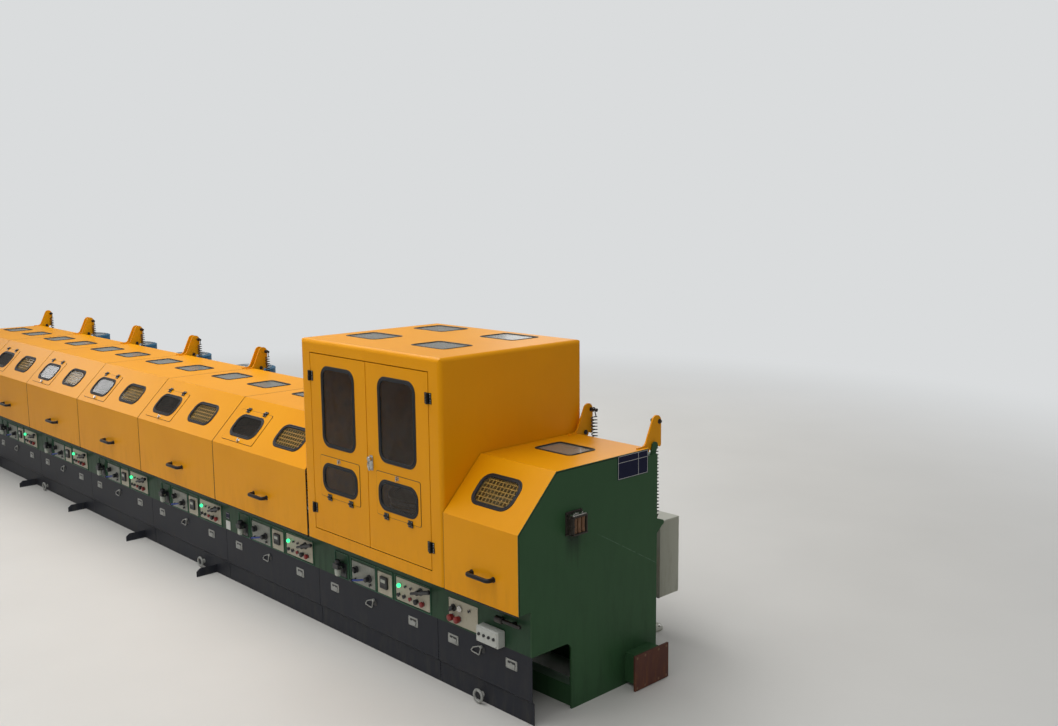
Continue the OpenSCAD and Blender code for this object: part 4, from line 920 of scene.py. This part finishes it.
# End plate fittings.
# The cast exit guide with its three rusty upright rollers and bolted cap, a bare navy number
# plate with white lines, and the plate itself with a run of oil and an old scratch.
cast = handled("oily_cast_iron", "#1B1A19", "#4A423A", 90.0, 8.0, (0.35, 0.75), (0, 0.8, 0.0012), Metallic=0.35)
rusty = handled("rusted_roller_steel", "#5A3A24", "#8A6A4E", 45.0, 7.0, 0.6, (0, 0.7, 0.0008), Metallic=0.3)
guide = Piece("exit_guide_cast", cast)
for low, high in (((0, 351, 1004), (8, 477, 1136)), ((6, 357, 1012), (60, 469, 1021)),
                  ((6, 357, 1111), (60, 469, 1120)), ((6, 357, 1014), (58, 366, 1118)),
                  ((6, 460, 1014), (58, 469, 1118)), ((8, 393, 1020), (40, 398, 1112)),
                  ((8, 428, 1020), (40, 433, 1112))):
    guide.block(low, high, MACHINE, edge=2)
for z in (1024, 1066, 1108):
    hex_bolt(guide, spot(30, 357, z) @ TO_FRONT, 12)
    hex_bolt(guide, spot(59, 361, z) @ TO_X, 8)
for z in (1012, 1128):
    for y in (357, 471):
        hex_bolt(guide, spot(8, y, z) @ TO_X, 8)
guide.done("dark_grey_paint", "exit_guide")
rollers = Piece("exit_guide_rollers", rusty, plated)
for y in (382, 413, 444):
    rollers.lathe([(7, 1020), (7, 1023), (13, 1024), (13.6, 1027), (11.6, 1046), (11.6, 1086), (13.6, 1104),
                   (13, 1108), (7, 1109), (7, 1112)], spot(42, y, 0))
rollers.slab([(x + 30, y + 413) for x, y in rounded(50, 102, 6, 4)], 1119, 1126, MACHINE, 1, 1.2)
for y in (380, 446):
    hex_bolt(rollers, spot(38, y, 1126), 10, 1)
rollers.lathe([(9, 1126), (14, 1126), (14, 1131), (9, 1131)], spot(24, 413, 0), 1, solid=False)
rollers.done("dark_grey_paint")
plate = Piece("number_plate_bare", navy, white)
face = spot(0, 906, 1303) @ turn("Z") @ turn("X")
plate.slab(rounded(262, 138, 3, 3), 0, 2.4, face, 0, 0.5)
for w, h, x, y in ((254, 2.2, 0, 65), (254, 2.2, 0, -65), (2.2, 130, -126, 0), (2.2, 130, 126, 0), (254, 2.2, 0, 28),
                   (2.2, 128, 46, 0)):
    plate.slab(rounded(w, h, 0.9, 3), 2.2, 2.9, face @ move(x, y), 1, 0.2)
plate.done("cream_paint")

# the end plate's own paint: oil has run down under the guide, and a fork has left a scratch
oiled_green = enamel("dark_green_enamel_with_oil_run", *FRAME_GREEN)
tree = oiled_green.node_tree
shader = tree.nodes["Principled BSDF"]
paint, gloss = (shader.inputs[key].links[0].from_socket for key in ("Base Color", "Roughness"))
at = add(tree, "ShaderNodeVectorMath", {0: add(tree, "ShaderNodeTexCoord", out="Object"), 1: (near, front, 0)},
         operation="SUBTRACT")
y, z = (add(tree, "ShaderNodeSeparateXYZ", {0: at}, out) for out in (1, 2))
ragged = add(tree, "ShaderNodeTexNoise", {"W": y, "Scale": 28.0, "Detail": 4.0}, noise_dimensions="1D")
across = remap(tree, calc(tree, "ABSOLUTE", calc(tree, "SUBTRACT", y, 0.416)), 0.0, 1.0, 0.075, 0.03)
under = remap(tree, z, 0.0, 1.0, remap(tree, ragged, 0.76, 0.92, 0.3, 0.7), 0.99)
run = product(tree, across, under, remap(tree, z, 0.0, 1.0, 1.03, 1.0), 0.75)
line = add(tree, "ShaderNodeVectorMath", {0: at, 1: (0, 0.4925, 0.8703)}, "Value", operation="DOT_PRODUCT")
thin = remap(tree, calc(tree, "ABSOLUTE", calc(tree, "SUBTRACT", line, 1.1355)), 0.0, 1.0, 0.0028, 0.0006)
mark = product(tree, thin, remap(tree, y, 0.0, 1.0, 0.6, 0.66), remap(tree, ragged, 0.0, 1.0, 0.35, 0.55), 0.5)
feed(tree, shader, {"Base Color": blend(tree, mark, blend(tree, run, paint, "#16201A"), "#6C8672"),
                    "Roughness": add(tree, "ShaderNodeMix", {0: run, 2: gloss, 3: 0.2})})
coat(oiled_green, "end_plate_near")
bead = Piece("end_plate_edge_bead", pale_green)
contour = [(0.4, 1.5, 648), (0.4, 1.5, SLOPE_Z - 1), (0.4, SLOPE_RUN + 0.5, ROOF_Z - 3), (0.4, 1046, ROOF_Z - 3)]
for line in zip(contour, contour[1:]):
    bead.tube(line, 1.9, MACHINE, n=8)
bead.done("green_paint")
coat(enamel("brown_primer_with_rust", "#5F3C33", "#4D3029", "#84553A", rough=0.6, low=0.0, high=0.3, dust=0.9,
            peel=0.0006), "stub_flange")
bolts = Piece("stub_flange_bolts", rusty)
for y in (-130, -60, 60, 130):
    for z in (-90, 90):
        at = spot(116, 950.5 + y, 109.5 + z) @ TO_X
        bolts.lathe([(8, -3), (8, 0.2), (7.4, 0.6)], at, n=20)
        hex_bolt(bolts, at @ move(0, 0, -12) @ turn("Y", math.pi), 13)
bolts.done("brown_primer")


# Drive motors.
# Upright squirrel-cage motors: finned grey-iron bodies and rolled steel fan cowls, sprayed
# blue, with a pressed air grille let into the cowl top, lifting eyes and a cable box.
blue = enamel("blue_enamel_on_motor_iron", "#2C5F7C", "#265470", "#1B2B33", rough=0.36, low=0.6, high=1.35,
              peel=0.0003, wave=0.0006)
coat(blue, "motors", "motor_cowls")
grille_steel = handled(
    "galvanised_grille_wire", "#8C9294", "#B4B8B8", rough=(0.3, 0.55), Metallic=0.9,
    pattern=lambda tree, place: add(tree, "ShaderNodeTexVoronoi", {"Vector": place, "Scale": 160.0}))

tree, sizes = growth("ring_grille", Rings=11, Outer=205.0, Inner=30.0, Wire=2.4)
line = geo(tree, "MeshLine", {"Count": sizes["Rings"], "Offset": (0, 0, 0)})
share = calc(tree, "DIVIDE", geo(tree, "InputIndex"), calc(tree, "ADD", sizes["Rings"], -1.0))
ring = geo(tree, "CurvePrimitiveCircle", {"Resolution": 48, "Radius": 1.0})
rings = spread(tree, line, ring, Scale=remap(tree, share, sizes["Inner"], sizes["Outer"]))
hoops = swept(tree, geo(tree, "RealizeInstances", {0: rings}), sizes["Wire"], 6)
hub = geo(tree, "CurvePrimitiveCircle", {"Resolution": 8, "Radius": sizes["Inner"]})
starts = geo(tree, "CurveToPoints", {"Curve": hub, "Count": 8}, mode="COUNT")
reach = add(tree, "ShaderNodeCombineXYZ", {0: calc(tree, "SUBTRACT", sizes["Outer"], sizes["Inner"])})
spoke = swept(tree, geo(tree, "CurvePrimitiveLine", {"End": reach}), sizes["Wire"], 6, True)
aim = add(tree, "FunctionNodeAlignRotationToVector", {"Vector": geo(tree, "InputPosition")}, axis="X",
          pivot_axis="Z")
spokes = geo(tree, "Transform", {"Geometry": spread(tree, starts, spoke, Rotation=aim),
                                             "Translation": (0, 0, -4)})
harvest(tree, joined(tree, hoops, spokes), grille_steel)
ring_grille = tree

blocks_x = [(CAB_L + CAB_R) / 2] + low_bays
MOTOR_Y, SHELF_Z, COWL_TOP = 1387, 640, 645
grilles = Piece("cowl_grilles", grille_steel)
dish = Piece("cowl_dishes", blue)
iron = Piece("motor_fittings", blue)
bolts = Piece("motor_bolts", oiled)
badges = Piece("motor_plates_bare", plated)
for x in blocks_x:
    at = spot(x, MOTOR_Y, SHELF_Z)
    grilles.mesh(grown(ring_grille, Rings=13, Outer=196.0, Inner=26.0), at @ move(0, 0, COWL_TOP))
    grilles.lathe([(30, 640), (30, 648), (22, 652)], at)
    for z in (352, 630):
        dish.lathe([(229, z - 6), (231.5, z - 5), (231.5, z + 5), (229, z + 6)], at, n=64, solid=False)
    for i in range(8):
        spoke = at @ turn("Z", math.radians(22.5 + 45 * i))
        hex_bolt(bolts, spoke @ move(230, 0, 372) @ TO_X, 9)
        hex_bolt(bolts, spoke @ move(200, 0, 22), 16)
    for degrees in (75, 285):
        lug = at @ turn("Z", math.radians(degrees))
        iron.block((208, -16, 300), (226, 16, 336), lug, edge=4)
        iron.tube([(228, u, 330 + v) for u, v in wheel(22, 20)], 6, lug, closed=True)
    box = at @ move(0, 248, 220) @ TO_Y
    iron.slab(rounded(150, 130, 12, 5), -68, 12, box, edge=4)
    iron.slab(rounded(158, 138, 13, 5), 11, 19, box, edge=2)
    for sx, sy in corners(66, 56):
        hex_bolt(bolts, box @ move(sx, sy, 18), 8)
    for sx in (-34, 34):
        iron.lathe([(20, 0), (20, 26), (16, 30)], box @ move(sx, 66, -20) @ TO_Y, n=18)
    tag = at @ turn("Z", math.radians(-50)) @ move(210, 0, 190) @ turn("Z") @ turn("X")
    badges.slab(rounded(70, 110, 5, 3), -3, 1.5, tag, 0, 0.4)
    plug = at @ turn("Z", math.radians(150)) @ move(228, 0, 540) @ TO_X
    iron.lathe([(14, 0), (14, 14), (10, 18)], plug, n=18)
grilles.done("aluminium")
dish.done("blue_paint")
iron.done("blue_paint")
bolts.done("black_plastic")
badges.done("aluminium")


# Belt guards.
# Half-round guards of welded 13 mm wire mesh in flat steel hoops, sprayed yellow and bolted
# under each motor bracket; the belts behind them are black rubber on cast pulleys.
mesh_yellow = enamel("yellow_enamel_on_welded_mesh", "#E39A16", "#CF8A10", "#5E4216", rough=0.4, dust=0.8, low=0.3)
tree, sizes = growth("curved_mesh", Radius=228.0, Height=126.0, Pitch=13.0, Wire=1.3)
posts = calc(tree, "DIVIDE", calc(tree, "MULTIPLY", sizes["Radius"], math.pi), sizes["Pitch"])
arc = geo(tree, "CurveArc", {"Resolution": 60, "Radius": sizes["Radius"], "Start Angle": 0.0,
                                         "Sweep Angle": math.pi})
dots = geo(tree, "CurveToPoints", {"Curve": arc, "Count": posts}, mode="COUNT")
top = add(tree, "ShaderNodeCombineXYZ", {2: sizes["Height"]})
stick = swept(tree, geo(tree, "CurvePrimitiveLine", {"End": top}), sizes["Wire"], 5)
rise = add(tree, "ShaderNodeCombineXYZ", {2: sizes["Pitch"]})
levels = geo(tree, "MeshLine", {"Count": calc(tree, "DIVIDE", sizes["Height"], sizes["Pitch"]),
                                            "Offset": rise})
hoops = spread(tree, levels, swept(tree, arc, sizes["Wire"], 5))
harvest(tree, joined(tree, spread(tree, dots, stick), hoops), mesh_yellow)
curved_mesh = tree


def arc_band(piece, r, z0, z1, at, t=4.0, n=48):
    """Flat steel hoop bent to a half circle."""
    rings = [[((r + d) * math.cos(math.pi * i / n), (r + d) * math.sin(math.pi * i / n), z)
              for d, z in ((-t / 2, z0), (t / 2, z0), (t / 2, z1), (-t / 2, z1))] for i in range(n + 1)]
    piece.loops(rings, at)


guards = Piece("belt_guards_mesh", mesh_yellow)
guard_bolts = Piece("belt_guard_bolts", plated)
for cx, cy, base, r, h, pitch in ([(x, MOTOR_Y, 458, 228, 150, 13.0) for x in blocks_x]
                                  + [(-430, 1330, 434, 133, 100, 11.0)]):
    at = spot(cx, cy, base)
    guards.mesh(grown(curved_mesh, Radius=float(r), Height=h - 14.0, Pitch=pitch), at @ move(0, 0, 7))
    for z in (0, h - 10):
        arc_band(guards, r, z, z + 10, at)
    for s in (-1, 1):
        guards.block((s * (r - 3), -46, 0), (s * (r + 2), 4, h), at, edge=1)
        guards.block((s * (r - 32), -26, h - 4), (s * (r + 2), 0, h + 12), at)
        hex_bolt(guard_bolts, at @ move(s * (r - 18), -13, h - 4) @ turn("X", math.pi), 9)
guards.done("yellow_paint", "belt_guards")
guard_bolts.done("chrome")
coat(moulded("black_belt_rubber_and_pulleys", "#1B1B1D", "#2D2C2B", 0.6, 18.0), "drive_belts")


# Housings, cylinders and cabinet behind.
# Green gear columns with black ribbed caps, bright air cylinders on top of them, the small
# stacked pump motor, and the light grey wiring cabinet on its post.
def drawn(tree, place):
    """Fine lines along the cylinders."""
    lines = add(tree, "ShaderNodeMapping", {"Vector": place, "Scale": (4.0, 160.0, 160.0)})
    return noise(tree, lines, 3.0, 3.0)


coat(handled("clear_anodised_aluminium", "#B9BCBE", "#D2D4D5", drawn, rough=(0.2, 0.36), Metallic=1.0),
     "air_cylinders")
coat(black_abs, "gear_caps")
pump_grey = enamel("slate_enamel_on_pump", "#4A4E55", "#41454B", "#22231F", rough=0.4, low=0.5, high=1.0)
coat(pump_grey, "pump_motor", "air_duct")
pale_grey = enamel("light_grey_enamel_on_cabinet", "#A9AA9C", "#A09F92", "#5E5A4C", rough=0.38, low=0.2, high=0.8,
                   dust=0.4)
shell = Piece("junction_cabinet_dressed", pale_grey)
metal = Piece("junction_cabinet_fittings", plated)
glands = Piece("junction_cabinet_glands", black_abs)
post = spot(-450, 1600, 0)
for low, high, edge in (((-620, 1500, 275), (-280, 1688, 775), 3), ((-618, 1502, 773), (-282, 1692, 778), 1),
                        ((-614, 1690, 281), (-286, 1697, 769), 2), ((-615, 1125, 700), (-575, 1502, 740), 3),
                        ((-628, 1124, 688), (-562, 1132, 752), 2)):
    shell.block(low, high, MACHINE, edge=edge)
glands.block((-611, 1686, 284), (-289, 1690.5, 766), MACHINE, edge=1)
shell.lathe([(30, 9), (30, 276)], post, n=36)
shell.lathe([(30, 9), (38, 9), (34, 14), (30, 16)], post, n=36, solid=False)
shell.lathe([(30, 262), (40, 266), (46, 275), (30, 275)], post, n=36, solid=False)
shell.lathe([(90, 0), (90, 8), (88, 10)], post, n=48)
for x, y in wheel(70, 90, 45, 405):
    hex_bolt(metal, post @ move(x, y, 10), 13)
for x in (-620, -570):
    for z in (696, 744):
        hex_bolt(metal, spot(x, 1132, z) @ TO_Y, 7)
lock = spot(-322, 1696, 525) @ TO_Y
metal.lathe([(14, 0), (14, 1.4), (12, 3)], lock, n=28)
glands.lathe([(8, 2.6), (8, 3.6)], lock, n=20)
glands.block((-2, -7, 3), (2, 7, 4), lock, edge=0.4)
for z in (345, 690):
    metal.lathe([(5, -32), (5.5, -30), (5.5, 30), (5, 32)], spot(-616, 1693, z), n=16)
for x in (-560, -500, -400, -340):
    glands.lathe([(11, 246), (13, 250), (13, 258), (17, 259), (17, 276)], spot(x, 1560, 0), n=18)
shell.done("light_grey_paint", "junction_cabinet")
metal.done("chrome")
glands.done("black_plastic")

# folded box of the air duct: overlapping cover, lower spigot for a hose, and its screws
duct = Piece("air_duct_folds", pump_grey)
duct_bolts = Piece("air_duct_screws", plated)
for low, high in (((-266, 1100, 1106), (-112, 1179, 1113)), ((-268, 1100, 930), (-262, 1181, 938)),
                  ((-116, 1100, 930), (-110, 1181, 938)), ((-268, 1175, 930), (-110, 1181, 938)),
                  ((-258, 1174, 1000), (-120, 1177.5, 1006)), ((-258, 1174, 1060), (-120, 1177.5, 1066))):
    duct.block(low, high, MACHINE)
for x in (-250, -128):
    for z in (958, 1092):
        hex_bolt(duct_bolts, spot(x, 1175, z) @ TO_Y, 6)
duct.done("dark_grey_paint")
duct_bolts.done("chrome")

# weld beads where posts meet the beam, and the ends of the beam on the two end plates
welds = Piece("frame_weld_beads", dark_green)


def weld(a, b, r=4.0):
    """Hand-laid bead with its small ripples, between two points of the machine."""
    a, b = Vector(a), Vector(b)
    n = max(int((b - a).length / 5), 3)
    welds.tube([tuple(a.lerp(b, i / n) + Vector((0.5, 0.5, 0.6)) * math.sin(i * 2.4)) for i in range(n + 1)], r,
               MACHINE, n=8)


for x in [CAB_R] + [CAB_L - BAY * k for k in range(6)]:
    weld((x - 40, 1125, 1225), (x + 40, 1125, 1225))
    for s in (-41, 41):
        weld((x + s, 1068, 1224), (x + s, 1124, 1224))
        weld((x + s * 0.98, 1124, 60), (x + s * 0.98, 1124, 130), 3.5)
for x in (-13, -9497):
    for z in (1225, 1330):
        weld((x, 1068, z), (x, 1124, z))
welds.done("green_paint")
bolts = Piece("housing_bolts", plated)
for x in blocks_x:
    for dx in (282, 394):
        for z in (700, 820, 940, 1060):
            hex_bolt(bolts, spot(x + dx, 1061, z) @ TO_Y, 11)
    for u, v in wheel(30, 60):
        hex_bolt(bolts, spot(x + 478 + u, 1014 + v, 1132), 8)
bolts.done("chrome")


# Drawing blocks and die boxes.
# Forged drums with a hard, ground working face, polished in bands by the wire; the cast die
# boxes beside them are grey with soap powder.
def banded(tree, place):
    height = add(tree, "ShaderNodeSeparateXYZ", {0: place}, 2)
    return add(tree, "ShaderNodeTexNoise", {"W": height, "Scale": 60.0, "Detail": 8.0, "Roughness": 0.7},
               noise_dimensions="1D")


coat(handled("ground_hard_steel", "#7C7E80", "#B4B5B4", banded, rough=(0.16, 0.4), Metallic=1.0), "capstans")
coat(cast, "die_boxes")
